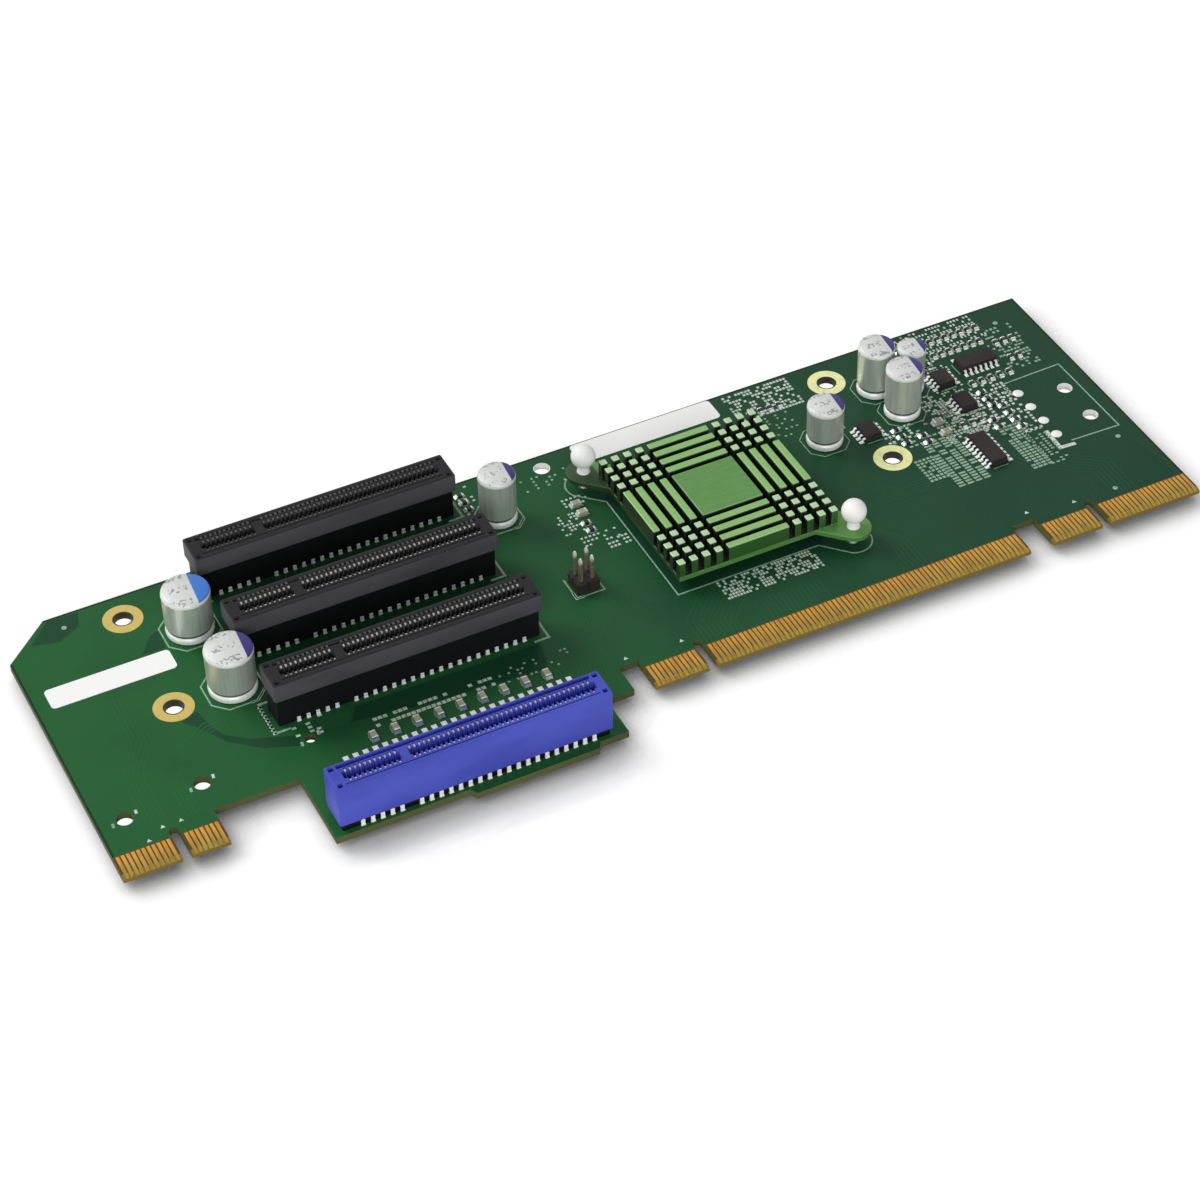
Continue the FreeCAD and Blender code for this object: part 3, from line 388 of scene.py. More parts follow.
class Paint(Net):
    """A finish: a material and its nodes, with x, y and z in millimetres of the frame."""

    def __init__(self, name):
        self.material = bpy.data.materials.new(name)
        self.material.use_nodes = True
        super().__init__(self.material.node_tree)
        self.tree.nodes.clear()
        metres = self.node("ShaderNodeTexCoord", out="Object")
        self.place = self.node("ShaderNodeVectorMath", {"operation": "SCALE"}, Vector=metres, Scale=1 / MM)
        axes = self.node("ShaderNodeSeparateXYZ", Vector=self.place)
        self.x, self.y, self.z = (axes.pick(axis) for axis in "XYZ")

    def noise(self, grain, detail=2.0, stretch=None):
        """Cloudy values from 0 to 1 whose lumps are about grain millimetres, drawn out by stretch."""
        place = self.place
        if stretch:
            place = self.node("ShaderNodeMapping", Vector=place, Scale=tuple(1 / s for s in stretch))
        return self.node("ShaderNodeTexNoise", Vector=place, Scale=1 / grain, Detail=detail)

    def mix(self, share, *colours):
        """Two colours mixed; each is a wire, or red, green and blue as seen on a screen."""
        first, second = (tint(*colour) if isinstance(colour, tuple) else colour for colour in colours)
        return self.node(
            "ShaderNodeMix", {"data_type": "RGBA"}, out="Result_Color",
            Factor_Float=share, A_Color=first, B_Color=second,
        )

    def bump(self, height, depth):
        """A normal from a height of 0 to 1 that stands for depth millimetres."""
        return self.node("ShaderNodeBump", Height=height, Distance=depth * MM, Strength=1.0)

    def surface(self, **sockets):
        shader = self.node("ShaderNodeBsdfPrincipled", **sockets)
        self.node("ShaderNodeOutputMaterial", Surface=shader)
        return self.material

    def skin(self, colour, grain, rough, vary, depth=0.006, **sockets):
        """A surface whose roughness varies with a grain, which also stands up by depth millimetres."""
        return self.surface(
            Base_Color=colour, Roughness=rough + grain * vary, Normal=self.bump(grain, depth), **sockets)


# Finishes, with colours as seen on a screen and lines in millimetres of the frame

# Mask green painted lighter on the left and darker on the right as a falloff of light
MASK_LIT_LEFT = (34, 95, 49)
MASK_SHADED_RIGHT = (24, 63, 44)
MASK_DEEP = (20, 56, 40)
MASK_LIGHT = (66, 124, 80)
MASK_BORDER = (10, 26, 16)
MASK_SHINE = 0.12
BORDER = 0.5
BARE = (92, 68, 30)
BEVEL = (140, 112, 48)
LAMINATE = (104, 110, 66)
LAMINATE_DARK = (58, 62, 38)
LAYER = 0.2
BACK_EDGE = 41.6
CONTACT_LINE = 0.3 - CARD_MIDDLE_Y
TIP_LINE = -4.45 - CARD_MIDDLE_Y
TAB_LEFT = 38.0 - CARD_MIDDLE_X
TAB_RIGHT = 107.0 - CARD_MIDDLE_X


def mask_green(paint):
    """The green of the mask with slow clouds, yellower and lighter on the left and deeper on the right as a
    painted falloff of light.
    """
    # Painted falloff of light across the card, from left to right
    along = paint.x.rise(-1.1 * CARD_MIDDLE_X, 1.1 * CARD_MIDDLE_X)
    green = paint.mix(along, MASK_LIT_LEFT, MASK_SHADED_RIGHT)
    return paint.mix(paint.noise(28, 3).rise(0.42, 0.75) * 0.35, green, MASK_DEEP)


def board_finish():
    """Solder mask on both faces of the board, bare laminate with its layers on the edges."""
    paint = Paint("solder_mask")
    half = BOARD_THICKNESS / 2
    depth = abs(paint.z - (BOARD_TOP - half))
    edge = 1 - depth.over(half - 0.01)
    layers = paint.z.wave(LAYER).rise(-0.4, 0.9)
    laminate = paint.mix(layers * 0.5 + paint.noise(0.5) * 0.4, LAMINATE, LAMINATE_DARK)
    speck = paint.noise(0.45, 3)
    green = paint.mix(speck.rise(0.55, 0.8) * 0.18, mask_green(paint), MASK_LIGHT)
    border = (abs(paint.x) - CARD_MIDDLE_X).over(-BORDER) + (paint.y - BACK_EDGE).over(-BORDER)
    green = paint.mix(border * 0.75, green, MASK_BORDER)
    under_slot = paint.x.over(TAB_LEFT) * (1 - paint.x.over(TAB_RIGHT))
    bare = (CONTACT_LINE - paint.y).over(0.0) * (1 - under_slot)
    green = paint.mix(bare, green, BARE)
    near_faces = depth.over(half - 0.42)
    at_tip = (TIP_LINE - paint.y).over(0.0) * bare * (0.6 + near_faces * 0.4)
    laminate = paint.mix(at_tip, laminate, BEVEL)
    weave = paint.x.wave(1.1) * paint.y.wave(0.9)
    height = speck * 0.5 + weave * 0.12 + paint.noise(6) * 0.8
    return paint.surface(
        Base_Color=paint.mix(edge, green, laminate),
        Roughness=0.34 + paint.noise(9) * 0.1 + edge * 0.3,
        Specular_IOR_Level=MASK_SHINE,
        Normal=paint.bump(height, 0.012),
    )


def trace_finish(name, tone, share):
    """Mask over copper: the board's green, a little lighter or deeper, with soft edges."""
    paint = Paint(name)
    return paint.surface(
        Base_Color=paint.mix(paint.noise(4, 3) * 0.15 + share, mask_green(paint), tone),
        Roughness=0.3 + paint.noise(2) * 0.12,
        Specular_IOR_Level=MASK_SHINE,
        Normal=paint.bump(paint.noise(0.5), 0.006),
    )


def metal_finish(name, light, dark, rough, grain, metallic, depth=0.008, stretch=None):
    """A plated or tinned metal with drawn tone and a slightly uneven skin."""
    paint = Paint(name)
    cloud = paint.noise(grain, 3, stretch)
    colour = paint.mix(cloud.rise(0.35, 0.7) * 0.7 + paint.noise(grain * 5) * 0.3, light, dark)
    return paint.skin(colour, cloud, rough, 0.12, depth, Metallic=metallic)


def plastic_finish(name, light, dark, rough, grain=0.35, depth=0.01, shine=0.25, painted_shades=()):
    """Moulded plastic with a fine grain and faint flow clouds; painted shades are (low, high, colour) levels
    that are painted darker as shade.
    """
    paint = Paint(name)
    fine = paint.noise(grain, 3)
    flow = paint.noise(7, stretch=(3, 1, 1))
    colour = paint.mix(flow.rise(0.35, 0.7) * 0.6 + fine * 0.3, light, dark)
    # Painted shade at the given levels
    for low, high, shade in painted_shades:
        level = paint.z - BOARD_TOP
        colour = paint.mix(level.over(low) * (1 - level.over(high)), colour, shade)
    return paint.skin(colour, fine, rough, 0.14, depth, Specular_IOR_Level=shine)


SINK_LIGHT = (100, 152, 80)
SINK_GREEN = (80, 134, 62)
# Painted sheen of the fin tops, and painted highlight of the corner pins and rims
SINK_FIN_SHEEN = (146, 194, 116)
SINK_HIGHLIGHT = (204, 228, 192)
# Painted shade in the saw cuts, on the outer walls and on the left side
SINK_CUT_SHADE = (7, 16, 6)
SINK_WALL_SHADE = (44, 90, 34)
SINK_SHADE = (18, 34, 16)


def sink_finish():
    """Green anodised aluminium with brushed tops; painted sheen on the fin tops, painted highlights on the
    corner pins and rims, and painted shade down the saw cuts, on the outer walls and on the left side.
    """
    paint = Paint("anodised_green")
    height = paint.z - BOARD_TOP
    side_x = paint.x - (SINK_X - CARD_MIDDLE_X)
    side_y = paint.y - (SINK_Y - CARD_MIDDLE_Y)
    out_x, out_y = abs(side_x), abs(side_y)
    brush = paint.noise(0.25, 3, (14, 1, 1))
    past_x, past_y = out_x.over(SINK_PAD), out_y.over(SINK_PAD)
    corners = past_x * past_y
    fins = past_x + past_y - corners
    upper = height.over(SINK_FIN_TOP - 0.2)
    rim = upper * (1 - height.over(SINK_FIN_TOP - 0.005))
    top = paint.mix(brush.rise(0.3, 0.7) * 0.6, SINK_GREEN, SINK_LIGHT)
    # Painted sheen on the fin tops, and painted highlights on the corner pins and the rims
    top = paint.mix(upper * fins * (0.55 + brush * 0.4), top, SINK_FIN_SHEEN)
    top = paint.mix(upper * corners * 0.6 + rim * 0.35, top, SINK_HIGHLIGHT)
    face = SINK_HALF - 0.06
    within = (1 - out_x.over(face)) * (1 - out_y.over(face))
    below = 1 - height.rise(SINK_FIN_TOP - 0.55, SINK_FIN_TOP - 0.12)
    # Painted shade down the saw cuts and on the outer walls
    cut = within * height.over(SINK_PLATE - 0.05) * below
    wall = (1 - within) * below * height.over(SINK_PLATE + 0.1)
    colour = paint.mix(wall, top, SINK_WALL_SHADE)
    # Painted shade on the left side
    shaded_left_side = (-face - side_x).over(0.0)
    colour = paint.mix(shaded_left_side * below * 0.85, colour, SINK_SHADE)
    return paint.skin(paint.mix(cut, colour, SINK_CUT_SHADE), brush, 0.36, 0.16, Metallic=0.2)


def spring_finish(name, shade):
    """Contact springs: pale folded tips, duller at the card's back, and shade down in the slot."""
    paint = Paint(name)
    cloud = paint.noise(0.5, 3)
    tip = (paint.z - BOARD_TOP).rise(SLOT_TOP - 0.7, SLOT_TOP - 0.3)
    tone = paint.mix(cloud.rise(0.4, 0.7), (196, 194, 188), (150, 146, 138))
    tone = paint.mix(paint.y.rise(22, 30), tone, (104, 103, 98))
    return paint.skin(paint.mix(tip, shade, tone), cloud, 0.34, 0.15, Metallic=tip * 0.4)


def finger_finish():
    """Edge contacts: warm gold at the mask, worn towards olive at the tip."""
    paint = Paint("contact_gold")
    cloud = paint.noise(0.5, 3, (1, 8, 1))
    worn = (-CARD_MIDDLE_Y - 0.6 - paint.y).rise(0.0, 4.6)
    drawn = cloud.rise(0.35, 0.7)
    warm = paint.mix(drawn, (208, 156, 60), (178, 126, 44))
    olive = paint.mix(drawn, (170, 142, 64), (140, 115, 50))
    return paint.skin(paint.mix(worn, warm, olive), cloud, 0.32, 0.14, Metallic=0.55)


def post_finish():
    """Header posts: bronze with painted shade low down among their neighbours, and a painted highlight at
    the tips.
    """
    paint = Paint("header_post")
    cloud = paint.noise(0.5, 3, (1, 1, 6))
    # Painted highlight on the top of each post
    tip = (paint.z - BOARD_TOP).rise(HEADER_TOP - 1.9, HEADER_TOP - 0.5)
    tone = paint.mix(cloud.rise(0.4, 0.7), (128, 118, 96), (88, 82, 68))
    return paint.skin(paint.mix(tip, tone, (226, 230, 218)), cloud, 0.32, 0.12, Metallic=0.4)


def ring_finish():
    """Gold rings of the mount holes: deeper on the card's left, paler on its right."""
    paint = Paint("ring_gold")
    along = paint.x.rise(-0.8 * CARD_MIDDLE_X, 0.55 * CARD_MIDDLE_X)
    cloud = paint.noise(1.6, 3)
    gold = paint.mix(along, (208, 184, 102), (240, 240, 174))
    colour = paint.mix(cloud.rise(0.45, 0.8) * 0.35, gold, (178, 156, 84))
    return paint.skin(colour, cloud, 0.34, 0.12, Metallic=0.35)


CAN_PRINT = (216, 218, 216)
CAN_MARK = (128, 130, 136)


def can_top_finish(name, segment, start):
    """A can's top: pale lacquer, a coloured segment from start on, and rows of ink, on the print map."""
    paint = Paint(name)
    spot = paint.node("ShaderNodeUVMap", {"uv_map": "print"})
    axes = paint.node("ShaderNodeSeparateXYZ", Vector=spot)
    across, up = axes.pick("X"), axes.pick("Y")
    reach = across * 0.995 - up * 0.08
    coloured = reach.rise(start, start + 0.04)
    ink_rows = (up * 8.0 + 1.0).sine().over(0.1)
    strokes = paint.noise(0.62).rise(0.5, 0.58)
    printed = ink_rows * strokes * (1 - reach.rise(start - 0.2, start - 0.14)) * reach.over(-0.66)
    base = paint.mix(printed * 0.8, CAN_PRINT, CAN_MARK)
    base = paint.mix(paint.noise(1.2, 3).rise(0.5, 0.8) * 0.2, base, CAN_MARK)
    return paint.surface(
        Base_Color=paint.mix(coloured, base, segment),
        Metallic=0.1,
        Roughness=0.34 + paint.noise(0.8) * 0.15,
        Normal=paint.bump(paint.noise(0.6, 3), 0.01),
    )


def paper_finish():
    """A bare paper label with fibres and a faint sheen."""
    paint = Paint("label_paper")
    fibre = paint.noise(0.4, 4, (3, 1, 1))
    colour = paint.mix(fibre.rise(0.45, 0.8) * 0.4, (255, 255, 254), (250, 250, 248))
    return paint.skin(colour, fibre, 0.5, 0.2, 0.01)


def ink_finish(name, white, thin):
    """Print on the mask, thinner in places."""
    paint = Paint(name)
    worn = paint.noise(0.5, 3)
    return paint.skin(paint.mix(worn.rise(0.42, 0.7) * 0.75, white, thin), worn, 0.55, 0.2, 0.01)


# Levels of a slot painted darker as shade: the foot under the head's overhang, and the black slots' tops
BELOW_ALL = -9.0
BLACK_PAINTED_SHADE = [(BELOW_ALL, BLACK_FOOT, (18, 18, 20)), (SLOT_TOP - 0.1, SLOT_TOP + 1, (32, 32, 34))]
BLUE_PAINTED_SHADE = [(BELOW_ALL, BLUE_FOOT, (8, 8, 14))]

FINISH = {
    "board": board_finish(),
    "trace": trace_finish("mask_on_copper", MASK_LIGHT, 0.04),
    "underside_trace": trace_finish("mask_on_copper_below", MASK_LIGHT, 0.25),
    # Deep planes, and painted shade between the black slots and under the heat sink
    "plane": trace_finish("mask_on_plane", MASK_DEEP, 0.62),
    "via": trace_finish("mask_on_via", MASK_LIGHT, 0.5),
    "light_plane": trace_finish("mask_on_light_plane", MASK_LIGHT, 0.05),
    "finger": finger_finish(),
    "ring": ring_finish(),
    # The mount holes' barrels, painted dark as shade
    "painted_shade_barrel": metal_finish("barrel_dark", (60, 52, 34), (34, 30, 20), 0.5, 0.6, 0.4),
    "tin": metal_finish("tinned_lead", (232, 234, 230), (186, 188, 182), 0.3, 0.5, 0.7),
    "tail": metal_finish("tinned_tail", (252, 252, 250), (230, 232, 228), 0.4, 0.5, 0.1),
    "spring_in_black": spring_finish("contact_spring", (20, 19, 18)),
    "spring_in_blue": spring_finish("contact_spring_in_blue", (66, 74, 196)),
    "black": plastic_finish(
        "slot_black", (82, 80, 84), (60, 59, 63), 0.45, shine=0.15, painted_shades=BLACK_PAINTED_SHADE),
    "rib": plastic_finish("slot_rib", (90, 94, 88), (58, 62, 56), 0.45, 0.9, shine=0.15),
    "blue": plastic_finish(
        "slot_blue", (76, 86, 190), (60, 69, 170), 0.38, shine=0.2, painted_shades=BLUE_PAINTED_SHADE),
    "sink": sink_finish(),
    "can": metal_finish(
        "can_aluminium", (214, 221, 211), (190, 198, 188), 0.3, 0.7, 0.5, 0.004, (1, 1, 14)),
    # Painted highlight of the cans' rolled foot and shoulder
    "can_rim": metal_finish("can_rim", (250, 252, 249), (228, 231, 227), 0.34, 0.6, 0.15, 0.004),
    # Painted shade in the cans' groove
    "can_groove": metal_finish("can_groove", (96, 102, 94), (66, 72, 66), 0.45, 0.6, 0.4, 0.004),
    "top_purple": can_top_finish("can_top_purple", (42, 28, 116), 0.52),
    "top_blue": can_top_finish("can_top_blue", (52, 122, 208), 0.28),
    "nylon": plastic_finish("nylon_white", (252, 252, 249), (236, 238, 234), 0.34, 0.5, 0.008),
    "chip": plastic_finish("chip_black", (50, 46, 44), (32, 30, 29), 0.55, 0.3, 0.016, 0.15),
    "header": plastic_finish("header_black", (50, 46, 44), (34, 32, 31), 0.5, 0.3, 0.012, 0.15),
    "ceramic": plastic_finish("ceramic_beige", (172, 172, 148), (144, 146, 122), 0.42, 0.4),
    "post": post_finish(),
    "resistor": plastic_finish("resistor_black", (46, 48, 50), (28, 29, 31), 0.3, 0.3, 0.006),
    "carrier": plastic_finish("carrier_green", (42, 84, 52), (30, 62, 40), 0.4, 0.6, 0.008),
    "thermal": plastic_finish("thermal_grey", (150, 152, 154), (120, 122, 124), 0.7, 0.5, 0.02),
    "paper": paper_finish(),
    "ink": ink_finish("print_ink", (212, 222, 211), (128, 162, 134)),
    "ink_dim": ink_finish("print_ink_thin", (150, 180, 156), (90, 128, 100)),
}


# Outlines

# The least share of its width that a mitred corner keeps
MITRE_LIMIT = 0.35


def lifted(outline, z):
    """A flat outline at a height."""
    return [(x, y, z) for x, y in outline]


def rectangle(x0, y0, x1, y1):
    """A rectangle, anticlockwise."""
    return [(x0, y0), (x1, y0), (x1, y1), (x0, y1)]


def arc(x, y, radius, turns):
    """Points on a circle, at turns in degrees."""
    turns = [math.radians(turn) for turn in turns]
    return [(x + radius * math.cos(turn), y + radius * math.sin(turn)) for turn in turns]


def rounded(x0, y0, x1, y1, radius, steps=3):
    """A rectangle with round corners, anticlockwise; one step cuts the corners straight."""
    outline = []
    inner = rectangle(x0 + radius, y0 + radius, x1 - radius, y1 - radius)
    for (x, y), start in zip(inner[1:] + inner[:1], (-90, 0, 90, 180)):
        outline += arc(x, y, radius, [start + 90 * step / steps for step in range(steps + 1)])
    return outline


def shifted(path, distance, closed=False):
    """A path moved sideways to its left, with mitred corners."""
    spots = [Vector(p) for p in path]
    count = len(spots)
    moved = []
    for index, spot in enumerate(spots):
        ways = []
        if closed or index > 0:
            ways.append((spot - spots[index - 1]).normalized())
        if closed or index < count - 1:
            ways.append((spots[(index + 1) % count] - spot).normalized())
        sides = [Vector((-way.y, way.x)) for way in ways]
        middle = (sides[0] + sides[-1]).normalized()
        moved.append(tuple(spot + middle * (distance / max(middle.dot(sides[0]), MITRE_LIMIT))))
    return moved


def inside(spot, loop):
    """Whether a point lies within a closed outline."""
    within = False
    for (x0, y0), (x1, y1) in zip(loop, loop[1:] + loop[:1]):
        if (y0 > spot.y) != (y1 > spot.y) and spot.x < x0 + (spot.y - y0) * (x1 - x0) / (y1 - y0):
            within = not within
    return within


# Making meshes

# Points closer than this are one, in metres for shapes and solids and in millimetres for outlines
SHAPE_JOIN = 1e-7
SOLID_JOIN = 1e-6
OUTLINE_JOIN = 1e-6


class Shape:
    """Points and faces of one piece, gathered in card millimetres."""

    def __init__(self):
        self.points = []
        self.faces = []
        self.finishes = []

    def add(self, points, faces, finish=0):
        first = len(self.points)
        self.points += [at(*point) for point in points]
        self.faces += [[first + index for index in face] for face in faces]
        self.finishes += [finish] * len(faces)

    def loft(self, loops, low=True, high=True, finish=0):
        """Closed loops of equal count, each anticlockwise seen from above, joined from the lowest up."""
        count = len(loops[0])
        last = (len(loops) - 1) * count
        faces = []
        for below in range(0, last, count):
            for index in range(count):
                after = below + (index + 1) % count
                faces.append((below + index, after, after + count, below + count + index))
        if low:
            faces.append(tuple(reversed(range(count))))
        if high:
            faces.append(tuple(range(last, last + count)))
        self.add([point for loop in loops for point in loop], faces, finish)

    def tapered(self, *levels):
        """A body from level rectangles (x0, y0, x1, y1, z), lowest first."""
        self.loft([lifted(rectangle(*sides), z) for *sides, z in levels])

    def block(self, low, high, chamfer=0.0):
        """A box from its low to its high corner, with all upper and lower edges chamfered."""
        (x0, y0, z0), (x1, y1, z1) = low, high
        levels = [(z0, 0.0), (z1, 0.0)]
        if chamfer:
            levels = [(z0, chamfer), (z0 + chamfer, 0.0), (z1 - chamfer, 0.0), (z1, chamfer)]
        self.tapered(*((x0 + c, y0 + c, x1 - c, y1 - c, z) for z, c in levels))

    def turned(self, x, y, profile, count, **ends):
        """A turned piece from (radius, z) pairs, lowest first."""
        turns = [360 * index / count for index in range(count)]
        self.loft([lifted(arc(x, y, radius, turns), z) for radius, z in profile], **ends)

    def ring(self, x, y, inner, outer, low, high, count):
        """A ring with an upper face, a lower face and both walls."""
        section = [(outer, low), (outer, high), (inner, high), (inner, low), (outer, low)]
        self.turned(x, y, section, count, low=False, high=False)

    def ribbon(self, path, width, low, high, closed=False):
        """A flat strip of even width along a path, with mitred corners."""
        sides = [shifted(path, way * width / 2, closed) for way in (-1, 1)]
        sections = [
            [(*right, low), (*left, low), (*left, high), (*right, high)] for right, left in zip(*sides)
        ]
        self.loft(sections + sections[:1] if closed else sections, not closed, not closed)

    def slab(self, outline, low, high):
        """A flat plate with a given outline, anticlockwise."""
        self.loft([lifted(outline, low), lifted(outline, high)])

    def well(self, outline, top, bottom):
        """The walls and floor of an opening whose outline is anticlockwise seen from above."""
        self.loft([lifted(outline, top), lifted(outline, bottom)], low=False)

    def pierced(self, outer, holes, z):
        """A level face with openings, seen from above."""
        points, edges = [], []
        for loop in [outer] + holes:
            first, count = len(points), len(loop)
            edges += [(first + index, first + (index + 1) % count) for index in range(count)]
            points += loop
        spots = [Vector(point) for point in points]
        _, _, triangles, origins, _, _ = delaunay_2d_cdt(spots, edges, [], 0, OUTLINE_JOIN)
        faces = []
        for triangle in triangles:
            corners = [origins[index][0] for index in triangle]
            middle = (spots[corners[0]] + spots[corners[1]] + spots[corners[2]]) / 3
            if inside(middle, outer) and not any(inside(middle, hole) for hole in holes):
                faces.append(corners)
        self.add(lifted(points, z), faces)

    def mesh(self, name, smooth=30):
        made = bpy.data.meshes.new(name)
        made.from_pydata(self.points, [], self.faces)
        made.polygons.foreach_set("material_index", self.finishes)
        work = bmesh.new()
        work.from_mesh(made)
        bmesh.ops.remove_doubles(work, verts=work.verts, dist=SHAPE_JOIN)
        work.to_mesh(made)
        work.free()
        soften(made, smooth)
        return made

    def show(self, name, finish, slot, replaced=(), smooth=30):
        """Makes the shape a piece of the card, with one finish."""
        piece(name, self.mesh(name, smooth), [finish], replaced)


def soften(mesh, angle):
    """Smooth shading except across edges sharper than the angle, in degrees."""
    mesh.shade_smooth()
    mesh.set_sharp_from_angle(angle=math.radians(angle))


def worked(work, name, smooth):
    """A new mesh from worked geometry, which is then let go."""
    made = bpy.data.meshes.new(name)
    work.to_mesh(made)
    work.free()
    soften(made, smooth)
    return made


def welded(name, angle):
    """A solid's geometry, with its points joined and flat faces made whole."""
    work = bmesh.new()
    work.from_mesh(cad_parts[name].data)
    bmesh.ops.remove_doubles(work, verts=work.verts, dist=SOLID_JOIN)
    bmesh.ops.dissolve_limit(work, angle_limit=math.radians(angle), verts=work.verts, edges=work.edges)
    return work


def gathered(name, meshes, smooth=30):
    """Several meshes as one."""
    work = bmesh.new()
    for mesh in meshes:
        work.from_mesh(mesh)
    return worked(work, name, smooth)


def piece(name, mesh, finishes, replaced=()):
    """Puts a finished mesh into the scene as a piece of the card."""
    made = put(name, mesh)
    for key in finishes:
        mesh.materials.append(FINISH[key])
    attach(made, "root")
    if replaced:
        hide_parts(*replaced)


# Geometry Nodes trees for what repeats

class Grower(Net):
    """A Geometry Nodes tree with named inputs, grown into plain meshes."""

    def __init__(self, name, inputs):
        super().__init__(bpy.data.node_groups.new(name, "GeometryNodeTree"))
        self.tree.is_modifier = True
        self.tree.interface.new_socket("Geometry", in_out="OUTPUT", socket_type="NodeSocketGeometry")
        self.keys = {}
        for label, kind in {**inputs, "Material": "Material"}.items():
            socket = self.tree.interface.new_socket(label, in_out="INPUT", socket_type="NodeSocket" + kind)
            self.keys[label] = socket.identifier
        self.inputs = self.tree.nodes.new("NodeGroupInput")

    def given(self, label):
        return Wire(self, self.inputs.outputs[label])

    def close(self, instances):
        """Ends the tree: instances made real and given their material."""
        real = self.node("GeometryNodeRealizeInstances", Geometry=instances)
        painted = self.node("GeometryNodeSetMaterial", Geometry=real, Material=self.given("Material"))
        self.node("NodeGroupOutput", Geometry=painted)
        return self

    def grow(self, finish, values, paths=()):
        """The mesh for these inputs; paths are polylines in frame metres that the tree starts from."""
        seed = bpy.data.meshes.new("grower")
        points, edges = [], []
        for path in paths:
            edges += [(len(points) + step, len(points) + step + 1) for step in range(len(path) - 1)]
            points += path
        seed.from_pydata(points, edges, [])
        holder = put("grower", seed)
        modifier = holder.modifiers.new("grow", "NODES")
        modifier.node_group = self.tree
        for label, value in {**values, "Material": FINISH[finish]}.items():
            modifier[self.keys[label]] = value
        shown = holder.evaluated_get(bpy.context.evaluated_depsgraph_get())
        mesh = bpy.data.meshes.new_from_object(shown)
        holder.modifiers.remove(modifier)
        bpy.data.objects.remove(holder)
        return mesh


def row_tree():
    """A straight row of one small shape."""
    tree = Grower("row_of_shapes", {"Count": "Int", "Start": "Vector", "Step": "Vector", "Shape": "Object"})
    line = tree.node(
        "GeometryNodeMeshLine", {"mode": "OFFSET"},
        Count=tree.given("Count"), Start_Location=tree.given("Start"), Offset=tree.given("Step"),
    )
    shape = tree.node("GeometryNodeObjectInfo", out="Geometry", Object=tree.given("Shape"))
    return tree.close(tree.node("GeometryNodeInstanceOnPoints", Points=line, Instance=shape))


def strip_tree():
    """A flat strip along each given path."""
    tree = Grower("strips_on_paths", {"Paths": "Geometry", "Width": "Float", "Height": "Float"})
    line = tree.node("GeometryNodeMeshToCurve", Mesh=tree.given("Paths"))
    section = tree.node(
        "GeometryNodeCurvePrimitiveQuadrilateral", Width=tree.given("Width"), Height=tree.given("Height"))
    return tree.close(
        tree.node("GeometryNodeCurveToMesh", Curve=line, Profile_Curve=section, Fill_Caps=True))


def field_tree():
    """A field of small flat pads in rows and columns, some of them left out."""
    tree = Grower("field_of_pads", {
        "Size X": "Float", "Size Y": "Float", "Columns": "Int", "Rows": "Int", "Place": "Vector",
        "Pad": "Vector", "Left Out": "Float", "Seed": "Int",
    })
    grid = tree.node(
        "GeometryNodeMeshGrid", out="Mesh", Size_X=tree.given("Size X"), Size_Y=tree.given("Size Y"),
        Vertices_X=tree.given("Columns"), Vertices_Y=tree.given("Rows"),
    )
    dropped = tree.node(
        "FunctionNodeRandomValue", {"data_type": "BOOLEAN"}, out="Value_003",
        Probability=tree.given("Left Out"), Seed=tree.given("Seed"),
    )
    kept = tree.node("GeometryNodeDeleteGeometry", Geometry=grid, Selection=dropped)
    pad = tree.node("GeometryNodeMeshCube", out="Mesh", Size=tree.given("Pad"))
    spread = tree.node("GeometryNodeInstanceOnPoints", Points=kept, Instance=pad)
    return tree.close(tree.node("GeometryNodeTransform", Geometry=spread, Translation=tree.given("Place")))


ROW = row_tree()
STRIPS = strip_tree()
FIELD = field_tree()


def rows(name, shape, places, finish, replaced=(), smooth=30):
    """One piece made of straight rows of a small shape; places are (count, start, step)."""
    pattern = put("pattern", shape.mesh("pattern"))
    for vertex in pattern.data.vertices:
        vertex.co -= at(0, 0)
    grown = [
        ROW.grow(finish, {"Count": count, "Start": at(*start), "Step": Vector(step) * MM, "Shape": pattern})
        for count, start, step in places
    ]
    bpy.data.objects.remove(pattern)
    piece(name, gathered(name, grown, smooth), [finish], replaced)


def fields(name, finish, z):
    """One piece made of all fields of small marks in a finish, centred on a height."""
    grown = [
        FIELD.grow(finish, {
            "Size X": (x1 - x0) * MM, "Size Y": (y1 - y0) * MM, "Columns": columns, "Rows": lines,
            "Place": at((x0 + x1) / 2, (y0 + y1) / 2, z), "Pad": Vector((*pad, INK)) * MM,
            "Left Out": share, "Seed": seed,
        })
        for x0, y0, x1, y1, columns, lines, pad, share, seed in FIELDS[finish]
    ]
    piece(name, gathered(name, grown), [finish])


def joints(name, places, foot, tip, height, sides, replaced=()):
    """One piece made of rows of solder cones that hang below the board."""
    cone = Shape()
    cone.turned(0, 0, [(tip, UNDERSIDE - height), (foot, UNDERSIDE)], sides)
    rows(name, cone, places, "tin", replaced, 50)


# Board

def dress_solids():
    """Finishes of the solids that show as they are."""
    finishes = {
        "edge_contacts_long": "finger", "edge_contacts_middle": "finger", "edge_contacts_short": "finger",
        "bridge_lid": "tin", "bridge_substrate": "carrier", "thermal_pad": "thermal",
        "chip_resistors": "resistor", "chip_capacitors": "ceramic",
        **{f"{chip}_body": "chip" for chip in CHIPS},
    }
    for name, finish in finishes.items():
        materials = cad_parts[name].data.materials
        materials.clear()
        materials.append(FINISH[finish])


